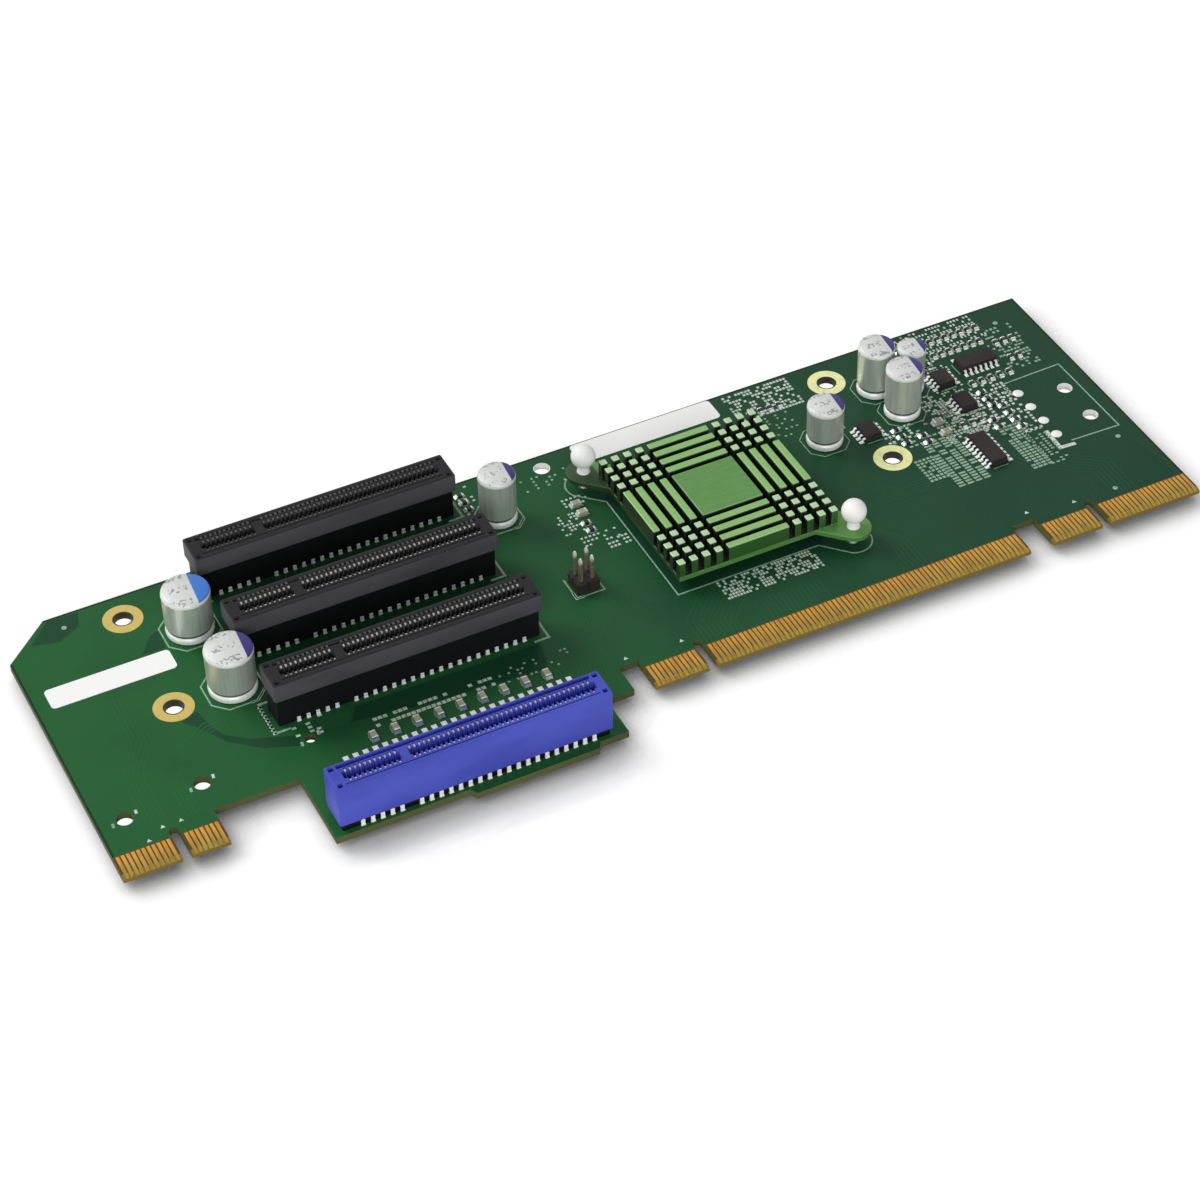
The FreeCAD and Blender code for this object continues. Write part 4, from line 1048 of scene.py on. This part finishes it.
def edge_contacts():
    """Contacts below the tongues, and the contacts' ends on both bevels."""
    half, skin = FINGER_WIDTH / 2, 0.07
    finger, tip = Shape(), Shape()
    finger.block((-half, FINGER_FRONT, UNDERSIDE - PLATING), (half, 0.0, UNDERSIDE))
    for face, way in ((0.0, 1), (UNDERSIDE, -1)):
        fall, lift = face - way * FINGER_FALL, face + way * PLATING
        outer = [
            (-half, FINGER_TIP, fall), (half, FINGER_TIP, fall),
            (half, FINGER_FRONT, lift), (-half, FINGER_FRONT, lift),
        ]
        inner = [(x, y, z - way * skin) for x, y, z in outer]
        tip.loft([inner, outer] if way > 0 else [outer, inner])
    places = []
    for left, before, key, after in TONGUES:
        for start, length in ((left, before), (left + before + key, after)):
            count = math.floor((length - FINGER_WIDTH) / FINGER_PITCH) + 1
            spare = (length - (count - 1) * FINGER_PITCH) / 2
            places.append((count, (start + spare, 0, 0), (FINGER_PITCH, 0, 0)))
    rows("underside_contacts", finger, places, "finger")
    rows("contact_tips", tip, places, "finger")


def plated_holes():
    """Rings and barrels of the mount holes, filled power pins, and linings of the peg and tool holes."""
    rings, barrels, collars = Shape(), Shape(), Shape()
    for x, y in MOUNT_HOLES:
        for low, high in ((0.0, PLATING), (UNDERSIDE - PLATING, UNDERSIDE)):
            rings.ring(x, y, MOUNT_RADIUS + RING_GAP, RING_RADIUS, low, high, 48)
        # The barrels' dark finish is painted shade
        barrels.ring(x, y, MOUNT_RADIUS - BARREL, MOUNT_RADIUS - LINING_GAP, UNDERSIDE, 0.0, 48)
    rings.show("plated_rings", "ring", "contact_gold")
    barrels.show("hole_barrels", "painted_shade_barrel", "contact_gold")
    for x, y in POWER_PINS:
        collars.turned(x, y, SOLDER_DOME, 24)
        collars.turned(x, y, [(radius, UNDERSIDE - z) for radius, z in reversed(SOLDER_DOME)], 24)
    for x, y, radius in [*POWER_PEGS, TOOL_HOLE]:
        collars.ring(x, y, radius - COLLAR, radius - LINING_GAP, UNDERSIDE, 0.0, 36)
    collars.show("plated_collars", "tail", "solder")


def pads_and_labels():
    """Bare pads behind the blue slot, and two blank labels."""
    pad = Shape()
    half_x, half_y, height = LANE_PAD
    pad.block((-half_x, -half_y, 0.0), (half_x, half_y, height), 0.02)
    start, step, count = LANE_PADS
    rows("lane_pads", pad, [(count, start, (step, 0, 0))], "tail")
    labels = Shape()
    for corners in LABELS.values():
        labels.slab(rounded(*corners, LABEL_CORNER, 4), 0.0, LABEL_THICKNESS)
    labels.show("labels", "paper", "label_paper", [f"label_{name}" for name in LABELS])


def drilled_board():
    """The board with a third, small peg hole, between the front slot and the blue one."""
    blank = put("blank", worked(welded("circuit_board", 1), "drilled_board", 30))
    drill = Shape()
    x, y, radius = PEG_HOLE
    drill.turned(x, y, [(radius, UNDERSIDE - 1), (radius, 1.0)], 28)
    tool = put("drill", drill.mesh("drill"))
    cut = blank.modifiers.new("drill", "BOOLEAN")
    cut.operation = "DIFFERENCE"
    cut.solver = "EXACT"
    cut.object = tool
    mesh = bpy.data.meshes.new_from_object(blank.evaluated_get(bpy.context.evaluated_depsgraph_get()))
    for made in (tool, blank):
        bpy.data.objects.remove(made)
    mesh.materials.clear()
    soften(mesh, 30)
    piece("drilled_board", mesh, ["board"], ["circuit_board"])


def copper():
    """Copper under the mask: bundles of traces, darker or lighter plane areas, and dark areas painted as
    shade between the black slots and under the heat sink.
    """
    for finish, bundles, z in (
        ("trace", TRACE_BUNDLES, COPPER / 2), ("underside_trace", UNDERSIDE_BUNDLES, UNDERSIDE - COPPER / 2),
    ):
        grown = []
        for path, count, gap in bundles:
            paths = [shifted(path, (index - (count - 1) / 2) * gap) for index in range(count)]
            lines = [[at(x, y, z) for x, y in moved] for moved in paths]
            grown.append(STRIPS.grow(finish, {"Width": TRACE_WIDTH * MM, "Height": COPPER * MM}, lines))
        name = f"{finish}s"
        piece(name, gathered(name, grown), [finish])
    for finish, outlines in (("plane", DEEP_PLANES_AND_PAINTED_SHADE), ("light_plane", LIGHT_PLANES)):
        shape = Shape()
        for outline in outlines:
            shape.slab(outline, -SUNK, COPPER / 2)
        shape.show(f"{finish}_areas", finish, "solder_mask")


# Card slots

def slot_housing(name, centre, width, foot_height, foot_inset, finish):
    """A slot with its recessed foot, round-cornered head, combed card opening, pits and grooves."""
    shape = Shape()
    front, back = centre - width / 2, centre + width / 2

    def outline(side, end):
        return rounded(SLOT_LEFT + end, front + side, SLOT_RIGHT - end, back - side, SLOT_CORNER)

    # The foot, the head's rounded lower edge and its chamfered upper one
    shape.loft([lifted(outline(side, end), z) for z, side, end in (
        (0.0, foot_inset, FOOT_END_INSET), (foot_height, foot_inset, FOOT_END_INSET),
        (foot_height + 0.02, 0.15, 0.15), (foot_height + 0.2, 0.0, 0.0),
        (SLOT_TOP - TOP_CHAMFER, 0.0, 0.0), (SLOT_TOP - 0.06, 0.08, 0.08),
        (SLOT_TOP, TOP_CHAMFER, TOP_CHAMFER),
    )], high=False)

    holes = []

    def dig(loop, depth):
        shape.well(loop, SLOT_TOP, SLOT_TOP - depth)
        holes.append(loop)

    gap, far = CARD_GAP / 2, CARD_GAP / 2 + NOTCH_DEPTH
    for start, stop, places in (
        (CONTACTS[0] - 1.0, KEY_BRIDGE[0], CONTACTS[:KEY_CONTACTS]),
        (KEY_BRIDGE[1], CONTACTS[-1] + 1.0, CONTACTS[KEY_CONTACTS:]),
    ):
        comb = [(start, -gap)]
        for place in places:
            low, high = place - NOTCH_HALF, place + NOTCH_HALF
            comb += [(low, -gap), (low, -far), (high, -far), (high, -gap)]
        comb.append((stop, -gap))
        opening = comb + [(x, -y) for x, y in reversed(comb)]
        dig([(SLOT_LEFT + x, centre + y) for x, y in opening], CARD_GAP_DEPTH)
    for x in (SLOT_LEFT + PIT_MARGIN, SLOT_RIGHT - PIT_MARGIN - PIT_SIDE):
        for y in (front + PIT_MARGIN, back - PIT_MARGIN - PIT_SIDE):
            dig(rectangle(x, y, x + PIT_SIDE, y + PIT_SIDE), PIT_DEPTH)
    for y, reach in (FRONT_GROOVE, BACK_GROOVE):
        low, high = centre + y, centre + y + reach
        dig(rectangle(SLOT_LEFT + GROOVE_END, low, SLOT_RIGHT - GROOVE_END, high), GROOVE_DEPTH)
    shape.pierced(outline(TOP_CHAMFER, TOP_CHAMFER), holes, SLOT_TOP)
    shape.show(f"card_slot_{name}", finish, f"slot_{finish}", [f"slot_housing_{name}"])


def spring_shape(side):
    """A contact spring: a strip that leans into the card opening and folds flat at its tip."""
    line = [
        (1.66, -7.5), (1.5, -5.0), (0.66, -2.7), (0.72, -2.0), (1.12, -0.55), (1.24, -0.3), (1.7, -0.26),
    ]
    thick, half = 0.1, 0.2
    section = rectangle(-half, 0.0, half, thick)[::side]
    shape = Shape()
    shape.loft([
        [(x, side * (y + out - thick / 2), SLOT_TOP + z - out) for x, out in section] for y, z in line
    ])
    return shape


def tail_shape(side, height, half):
    """A contact tail with a small fillet of solder at its foot."""
    tail, foot, head = (sorted((0.0, side * reach)) for reach in (0.26, 0.42, 0.3))
    wide, fillet = half + 0.06, 0.35
    shape = Shape()
    shape.block((-half, tail[0], 0.0), (half, tail[1], height), 0.06)
    shape.tapered((-wide, foot[0], wide, foot[1], 0.0), (-half, head[0], half, head[1], fillet))
    return shape


def contact_runs(y, first=0, step=1):
    """Places of a slot's contacts on a line, every step-th from the first, left and right of the key."""
    picked = CONTACTS[first::step]
    left = [place for place in picked if place < KEY_BRIDGE[0]]
    right = [place for place in picked if place > KEY_BRIDGE[1]]
    return [(len(run), (SLOT_LEFT + run[0], y, 0), (step, 0, 0)) for run in (left, right)]


def card_slots():
    """All four slots with their ribs, springs, tails and solder joints."""
    for name, centre in {"blue": BLUE_SLOT_Y, **BLACK_SLOTS}.items():
        kind = "blue" if name == "blue" else "black"
        width, foot_height, foot_inset, *tail = SLOT_DESIGNS[kind]
        slot_housing(name, centre, width, foot_height, foot_inset, kind)
        if kind == "black":
            rib = Shape()
            front, reach = BACK_GROOVE
            low, high = SLOT_TOP - GROOVE_DEPTH, SLOT_TOP - RIB_DROP
            rib.block((-RIB_HALF, front, low), (RIB_HALF, front + reach, high))
            rows(f"ribs_{name}", rib, contact_runs(centre), "rib")
        for side, label, first in ((1, "back", 0), (-1, "front", 1)):
            springs = f"springs_{name}_{label}"
            rows(springs, spring_shape(side), contact_runs(centre), f"spring_in_{kind}")
            tails = contact_runs(centre + side * (width / 2 - foot_inset), first, 2)
            replaced = [f"slot_tails_{name}"] if side > 0 else []
            rows(f"tails_{name}_{label}", tail_shape(side, *tail), tails, "tail", replaced)
        places = []
        for side in (1, -1):
            for first, offset in enumerate(JOINT_OFFSETS):
                places += contact_runs(centre + side * offset, first, 2)
        joints(f"slot_joints_{name}", places, foot=0.52, tip=0.2, height=0.75, sides=8)


# Heat sink and its push pins

def heat_sink():
    """The heat sink with all its sharp edges broken."""
    work = welded("heat_sink", 2)
    sharp = [e for e in work.edges if len(e.link_faces) == 2 and e.calc_face_angle() > math.radians(40)]
    bmesh.ops.bevel(work, geom=sharp, offset=EDGE_BREAK * MM, segments=1, affect="EDGES", clamp_overlap=True)
    bmesh.ops.triangulate(work, faces=[f for f in work.faces if len(f.verts) > 4])
    piece("finned_sink", worked(work, "finned_sink", 25), ["sink"], ["heat_sink"])


def push_pins():
    """Push pins: a ball on a neck, and two legs with a slit between them that spread below the board."""
    neck = [(1.42, PIN_SEAT), (1.34, PIN_SEAT + 0.2), (1.24, PIN_SEAT + 1.0), (1.26, PIN_SEAT + 1.72)]
    ball = arc(0.0, PIN_BALL, PIN_RADIUS, range(-60, 90, 10))
    head = neck + ball + [(0.12, PIN_BALL + PIN_RADIUS)]
    legs = [
        (0.7, FLOOR_LEVEL + 0.05), (1.5, UNDERSIDE - 0.6), (1.55, UNDERSIDE - 0.35), (1.1, UNDERSIDE - 0.1),
        (1.1, -0.5), (0.55, -0.2), (0.55, 2.5), (1.1, 2.7), (1.1, 3.9),
    ]
    for name, (x, y) in PUSH_PINS.items():
        shape = Shape()
        shape.turned(x, y, head, 32)
        for start in (12, 192):
            turns = [start + LEG_ARC * step / 10 for step in range(11)]
            shape.loft([lifted(arc(x, y, radius, turns), z) for radius, z in legs])
        shape.show(f"push_fastener_{name}", "nylon", "nylon_white", [f"push_pin_{name}"], 45)


# Capacitors

def capacitors():
    """Cans with a rolled foot, a groove, a plain wall, a shoulder and a printed top; the foot and shoulder
    are painted bright as a highlight, the groove painted dark as shade.
    """
    finishes = ["can", "top_purple", "top_blue", "can_rim", "can_groove"]
    shape = Shape()
    for x, y, radius, height, _, blue in CANS:
        neck, brow = height - 1.15, height - 0.34
        top = "top_blue" if blue else "top_purple"
        # The rolled foot and the shoulder are painted bright as a highlight, the groove painted dark as
        # shade
        bands = [
            ("can_rim", [
                (0.9, 0.0), (0.3, 0.02), (0.06, 0.2), (0.0, 0.55), (0.0, 1.0), (0.12, 1.35), (0.34, 1.55),
            ]),
            ("can_groove", [(0.34, 1.55), (0.46, 1.7), (0.44, 1.95), (0.26, 2.1)]),
            ("can", [(0.26, 2.1), (0.1, 2.25), (0.06, 2.6), (0.06, neck)]),
            ("can_rim", [(0.06, neck), (0.0, height - 0.95), (0.01, height - 0.6), (0.08, brow)]),
            (top, [(0.08, brow), (0.22, height - 0.1), (0.38, height)]),
        ]
        for index, (finish, band) in enumerate(bands):
            profile = [(radius - inset, z) for inset, z in band]
            first, last = index == 0, index == len(bands) - 1
            shape.turned(x, y, profile, 48, low=first, high=last, finish=finishes.index(finish))
    mesh = shape.mesh("capacitors", 38)
    layer = mesh.uv_layers.new(name="print")
    for polygon in mesh.polygons:
        if not finishes[polygon.material_index].startswith("top"):
            continue
        x, y, radius, *_ = min(CANS, key=lambda can: (at(can[0], can[1]) - polygon.center).xy.length)
        for loop in polygon.loop_indices:
            spot = mesh.vertices[mesh.loops[loop].vertex_index].co - at(x, y)
            layer.data[loop].uv = (spot.x / (radius * MM), spot.y / (radius * MM))
    piece("capacitors", mesh, finishes, ["capacitor_cans"])


# Pin header

def pin_header():
    """A base of four cells with cut corners, and four pointed posts."""
    x, y = HEADER
    cell = HEADER_PITCH / 2
    edge, cut, core = cell - 0.01, 0.35, 1.6
    base = Shape()
    for step_x in (-cell, cell):
        for step_y in (-cell, cell):
            cx, cy = x + step_x, y + step_y
            base.slab(rounded(cx - edge, cy - edge, cx + edge, cy + edge, cut, 1), 0.0, HEADER_BASE)
    base.block((x - core, y - core, 0.1), (x + core, y + core, HEADER_BASE - 0.1))
    base.show("header_block", "header", "slot_black", ["header_base"])

    half = HEADER_PIN / 2
    levels = [
        (FLOOR_LEVEL + 0.1, 0.15), (FLOOR_LEVEL + 0.35, half), (HEADER_TOP - 0.6, half), (HEADER_TOP, 0.14),
    ]
    pin = Shape()
    pin.tapered(*((-side, -side, side, side, z) for z, side in levels))
    rows("header_posts", pin, header_rows(), "post", ["header_pins"])


def header_rows():
    """Places of the header's pins."""
    x, y = HEADER
    cell = HEADER_PITCH / 2
    return [(2, (x - cell, y + step, 0), (HEADER_PITCH, 0, 0)) for step in (-cell, cell)]


# Chips and small parts

def lead_shape(way):
    """A gull-wing lead on its pad; it leaves the chip towards way, a unit step along x or y."""
    line = [(-0.1, 0.78), (0.28, 0.78), (0.42, 0.7), (0.58, 0.26), (0.7, 0.16), (1.06, 0.14)]
    section = rectangle(-0.25, -0.08, 0.25, 0.08)

    def aimed(out, across):
        return way[0] * out - way[1] * across, way[1] * out + way[0] * across

    shape = Shape()
    shape.loft([[(*aimed(out, across), z + lift) for across, lift in section] for out, z in line])
    corners = aimed(0.3, -0.38), aimed(1.35, 0.38)
    low, high = [[pick(values) for values in zip(*corners)] for pick in (min, max)]
    shape.block((*low, 0.0), (*high, 0.07))
    return shape


def chip_leads():
    """Two rows of leads for each leaded chip."""
    for name, (x, y, count, along_x) in CHIPS.items():
        start = -(count - 1) * LEAD_PITCH / 2
        for side, label in ((1, "a"), (-1, "b")):
            if along_x:
                place = (x + start, y + side * CHIP_HALF, 0)
                step, way = (LEAD_PITCH, 0, 0), (0, side)
            else:
                place = (x + side * CHIP_HALF, y + start, 0)
                step, way = (0, LEAD_PITCH, 0), (side, 0)
            replaced = [f"{name}_leads"] if side > 0 else []
            rows(f"{name}_row_{label}", lead_shape(way), [(count, place, step)], "tail", replaced)


def chip_parts(table):
    """Centre of each part in a table of rows, and whether its row runs along x."""
    for x, y, step, count, along_x in table:
        for index in range(count):
            yield (x + step * index, y, True) if along_x else (x, y + step * index, False)


def end_caps(length, width, height, along_x):
    """The two tinned ends of a chip part, with solder running onto the board."""
    shape = Shape()
    half = width / 2 + CAP_SKIN
    for side in (-1, 1):
        inner, outer, far = (side * (length / 2 + reach) for reach in (-0.32, CAP_SKIN, 0.38))
        cap = (min(inner, outer), -half, max(inner, outer), half)
        foot = (min(inner, far), -half - 0.1, max(inner, far), half + 0.1)
        if along_x:
            cap, foot = ((y0, x0, y1, x1) for x0, y0, x1, y1 in (cap, foot))
        shape.block((*cap[:2], 0.0), (*cap[2:], height + CAP_SKIN), 0.05)
        shape.tapered((*foot, 0.0), (*cap, height * 0.6))
    return shape


def small_parts():
    """Bodies of the small parts, and the tinned ends of all chip parts."""
    bodies = Shape()
    length, width, height = RESISTOR
    for x, y, along_x in chip_parts(SMALL_ROWS):
        half_x, half_y = (width / 2, length / 2) if along_x else (length / 2, width / 2)
        bodies.block((x - half_x, y - half_y, 0.0), (x + half_x, y + half_y, height), 0.04)
    bodies.show("small_parts", "resistor", "chip_black")
    for label, table, size in (
        ("resistor", RESISTOR_ROWS, RESISTOR), ("ceramic", CERAMIC_ROWS, CERAMIC),
        ("small", SMALL_ROWS, RESISTOR),
    ):
        for way, direction in ((False, "x"), (True, "y")):
            places = [
                (count, (x, y, 0), (step, 0, 0) if along_x else (0, step, 0))
                for x, y, step, count, along_x in table if along_x is way
            ]
            rows(f"{label}_ends_{direction}", end_caps(*size, way), places, "tin")


# Print on the board

# Widths of printed lines
FINE, THIN, PLAIN, BOLD = 0.18, 0.2, 0.3, 0.55


def sink_outline():
    """The printed line round the heat sink and its two ears."""
    reach, ear, run = 18.65, 4.0, 7.0
    left, right, front, back = SINK_X - reach, SINK_X + reach, SINK_Y - reach, SINK_Y + reach
    (fx, fy), (bx, by) = PUSH_PINS["front"], PUSH_PINS["back"]
    return [
        (left, front), (fx - run, front), *arc(fx, fy, ear, range(-120, 31, 15)),
        (right, fy + run), (right, back), (bx + run, back), *arc(bx, by, ear, range(60, 211, 15)),
        (left, by - run),
    ]


def silkscreen():
    """Lines in two strengths of ink, and fields of small marks."""
    shapes = {"ink": Shape(), "ink_dim": Shape()}

    def line(path, width, ink="ink_dim", closed=False):
        shapes[ink].ribbon(path, width, -SUNK, INK, closed)

    def bars(x, y, offset, half, along_x, width):
        """Two short lines on opposite sides of a part."""
        for side in (-offset, offset):
            across = [(x + side, y - half), (x + side, y + half)]
            along = [(x - half, y + side), (x + half, y + side)]
            line(across if along_x else along, width)

    # Cans: an outline with cut corners, and a bold corner for those in the open
    for x, y, radius, *_ in CANS:
        reach, cut = radius + 0.7, 0.55 * radius
        crowded, in_the_open = x > 170, x < 110
        outline = rounded(x - reach, y - reach, x + reach, y + reach, cut, 1)
        line(outline, FINE if crowded else PLAIN, closed=True)
        if in_the_open:
            corner = [(x + 1.5, y - reach), (x + reach - cut, y - reach), (x + reach, y + cut - reach)]
            line(corner, BOLD, "ink")

    # Black slots: brackets at both ends, and ticks beside the front one
    for centre in BLACK_SLOTS.values():
        for end, way in ((SLOT_LEFT - 0.8, 3.2), (SLOT_RIGHT + 0.8, -3.2)):
            front, back = centre - 4.4, centre + 4.4
            line([(end + way, front), (end, front), (end, back), (end + way, back)], 0.5)
    end = SLOT_LEFT - 0.9
    for step in range(9):
        y = BLACK_SLOTS["front"] + 3.6 - step
        line([(end - 0.4, y), (end + 0.35, y - 0.1)], BOLD, "ink")

    # Chips, heat sink, power connector and header
    for x, y, count, along_x in CHIPS.values():
        bars(x, y, count * LEAD_PITCH / 2 + 0.4, 1.8, along_x, THIN)
    line(sink_outline(), 0.32, closed=True)
    line([(217.6, 42.5), (232.3, 42.9), (232.5, 19.5), (221.0, 19.9)], PLAIN)
    line([(217.9, 25.0), (217.6, 18.9), (221.2, 18.7)], 0.9, "ink")
    x, y = HEADER
    left, right, front, back = x - 3.1, x + 3.1, y - 3.1, y + 3.1
    line([(left, back), (left, front), (right, front), (right, back)], PLAIN)
    line([(left, y - 1.2), (left, front), (x - 1.2, front)], BOLD, "ink")

    # Strokes beside the peg holes, arrows, round marks, and bars beside the chip parts
    for x, y, radius in [*BARE_PEGS, PEG_HOLE]:
        for way, ink in ((-1, "ink_dim"), (1, "ink")):
            spot = x + way * (radius + 0.75)
            line([(spot, y + way * 0.2), (spot + way * 0.15, y + way * 1.3)], BOLD, ink)
    for x, y in ARROWS:
        shapes["ink"].slab([(x - 0.5, y - 0.3), (x + 0.5, y - 0.3), (x, y + 0.5)], -SUNK, INK)
    for x, y in FIDUCIALS:
        shapes["ink_dim"].turned(x, y, [(0.55, -SUNK), (0.55, INK)], 20)
    for x, y, along_x in chip_parts(RESISTOR_ROWS + CERAMIC_ROWS):
        bars(x, y, 0.85, 0.7, along_x, FINE)

    # Outlines of the slots on the underside
    for centre in (BLUE_SLOT_Y, *BLACK_SLOTS.values()):
        path = rounded(SLOT_LEFT, centre - 3.6, SLOT_RIGHT, centre + 3.6, 0.6)
        shapes["ink_dim"].ribbon(path, PLAIN, UNDERSIDE - INK, UNDERSIDE + SUNK, True)

    for ink, shape in shapes.items():
        shape.show(f"silkscreen_{ink}", ink, "label_paper")
    for ink in shapes:
        fields(f"printed_marks_{ink}", ink, INK / 2)
    fields("underside_vias", "via", UNDERSIDE - INK / 2)


def lead_joints():
    """Solder joints of the cans and the header below the board."""
    places = [(2, (x, y - spacing / 2, 0), (0, spacing, 0)) for x, y, _, _, spacing, _ in CANS]
    size = {"foot": 0.85, "tip": 0.3, "height": 1.5, "sides": 14}
    joints("lead_joints", places + header_rows(), **size, replaced=["solder_joints"])


# Stage, light and camera

WHITE = (1.0, 1.0, 1.0, 1.0)
FLOOR_REACH = 6.0
SHADE_REACH = 9.0

# Painted light on the floor below a hole: its shift, and where past the hole's rim it fades
SPOT_SHIFT = (0.6, 1.2)
SPOT_FADE = (0.4, 2.6)


def seen_rays(net):
    """1 for rays that show a surface to the camera, straight, mirrored or through glass."""
    path = net.node("ShaderNodeLightPath", out="Is Camera Ray")
    return path + path.pick("Is Glossy Ray") + path.pick("Is Transmission Ray")


def floor_finish():
    """A white floor with painted contact shade from ambient occlusion, and painted pools of light below the
    holes.
    """
    paint = Paint("floor_white")
    lean = paint.node("ShaderNodeCombineXYZ", X=-0.42, Y=0.55, Z=0.72)
    near = paint.node(
        "ShaderNodeAmbientOcclusion", {"samples": 3}, out="AO", Distance=SHADE_REACH * MM, Normal=lean)
    spots = []
    mounts = [(*spot, MOUNT_RADIUS) for spot in MOUNT_HOLES]
    for x, y, radius in [*mounts, *POWER_PEGS, *BARE_PEGS, PEG_HOLE, TOOL_HOLE]:
        across = paint.x - (x + SPOT_SHIFT[0] - CARD_MIDDLE_X)
        along = paint.y - (y + SPOT_SHIFT[1] - CARD_MIDDLE_Y)
        start, end = ((radius + fade) ** 2 for fade in SPOT_FADE)
        spots.append(1 - (across * across + along * along).rise(start, end))
    painted_hole_light = sum(spots)
    # Painted contact shade: the ambient occlusion darkens the floor's glow near the card, lifted by the
    # painted light below the holes
    shade = near * (0.25 + near * 0.75)
    shade = shade + (1 - shade) * painted_hole_light
    seen = seen_rays(paint)
    cloth = paint.node("ShaderNodeBsdfDiffuse", Color=shade * (0.92 - seen * 0.42))
    glow = paint.node("ShaderNodeEmission", Color=WHITE, Strength=seen * shade * (0.66 + painted_hole_light * 0.3))
    both = paint.node("ShaderNodeAddShader", Shader=cloth, Shader_001=glow)
    paint.node("ShaderNodeOutputMaterial", Surface=both)
    return paint.material


def lamp(name, kind, aim, place=(0.0, 0.0, 0.0), **settings):
    """A lamp that shines along aim."""
    light = bpy.data.lights.new(name, kind)
    for key, value in settings.items():
        setattr(light, key, value)
    made = put(name, light)
    made.location = place
    made.rotation_mode = "QUATERNION"
    made.rotation_quaternion = Vector(aim).to_track_quat("-Z", "Y")


def stage():
    """Floor, light from all sides and two lamps."""
    mesh = bpy.data.meshes.new("floor")
    corners = rectangle(-FLOOR_REACH, -FLOOR_REACH, FLOOR_REACH, FLOOR_REACH)
    mesh.from_pydata(lifted(corners, 0.0), [], [(0, 1, 2, 3)])
    mesh.materials.append(floor_finish())
    floor = put("floor", mesh)

    world = bpy.data.worlds.new("studio")
    bpy.context.scene.world = world
    world.use_nodes = True
    sky = Net(world.node_tree)
    sky.tree.nodes.clear()
    strength = 0.36 + seen_rays(sky).over(0.5) * 0.64
    glow = sky.node("ShaderNodeBackground", Color=WHITE, Strength=strength)
    sky.node("ShaderNodeOutputWorld", Surface=glow)

    lamp("key", "SUN", (0.45, -0.62, -0.64), energy=1.7, angle=math.radians(30))
    place = Vector((-0.35, -0.75, 0.4))
    lamp("fill", "AREA", -place, place, shape="RECTANGLE", size=0.7, size_y=0.35, energy=4.0)


def camera():
    """The photo's camera: its sides as directions of the frame, and its place in metres."""
    lens = bpy.data.cameras.new("camera")
    lens.sensor_width = 36.0
    lens.lens = 97.866
    lens.clip_start = 0.01
    lens.clip_end = 50.0
    right = Vector((0.89486, -0.44597, -0.01826))
    up = Vector((0.31401, 0.59993, 0.73585))
    back = Vector((-0.31721, -0.66422, 0.67689))
    turn = Matrix((right, up, back)).transposed().to_4x4()
    seat = put("camera", lens)
    seat.matrix_world = Matrix.Translation((-0.213334, -0.436834, 0.443904)) @ turn
    bpy.context.scene.camera = seat


dress_solids()
edge_contacts()
plated_holes()
pads_and_labels()
drilled_board()
copper()
card_slots()
heat_sink()
push_pins()
capacitors()
pin_header()
chip_leads()
small_parts()
silkscreen()
lead_joints()
stage()
camera()
bpy.context.scene.view_settings.view_transform = "Standard"
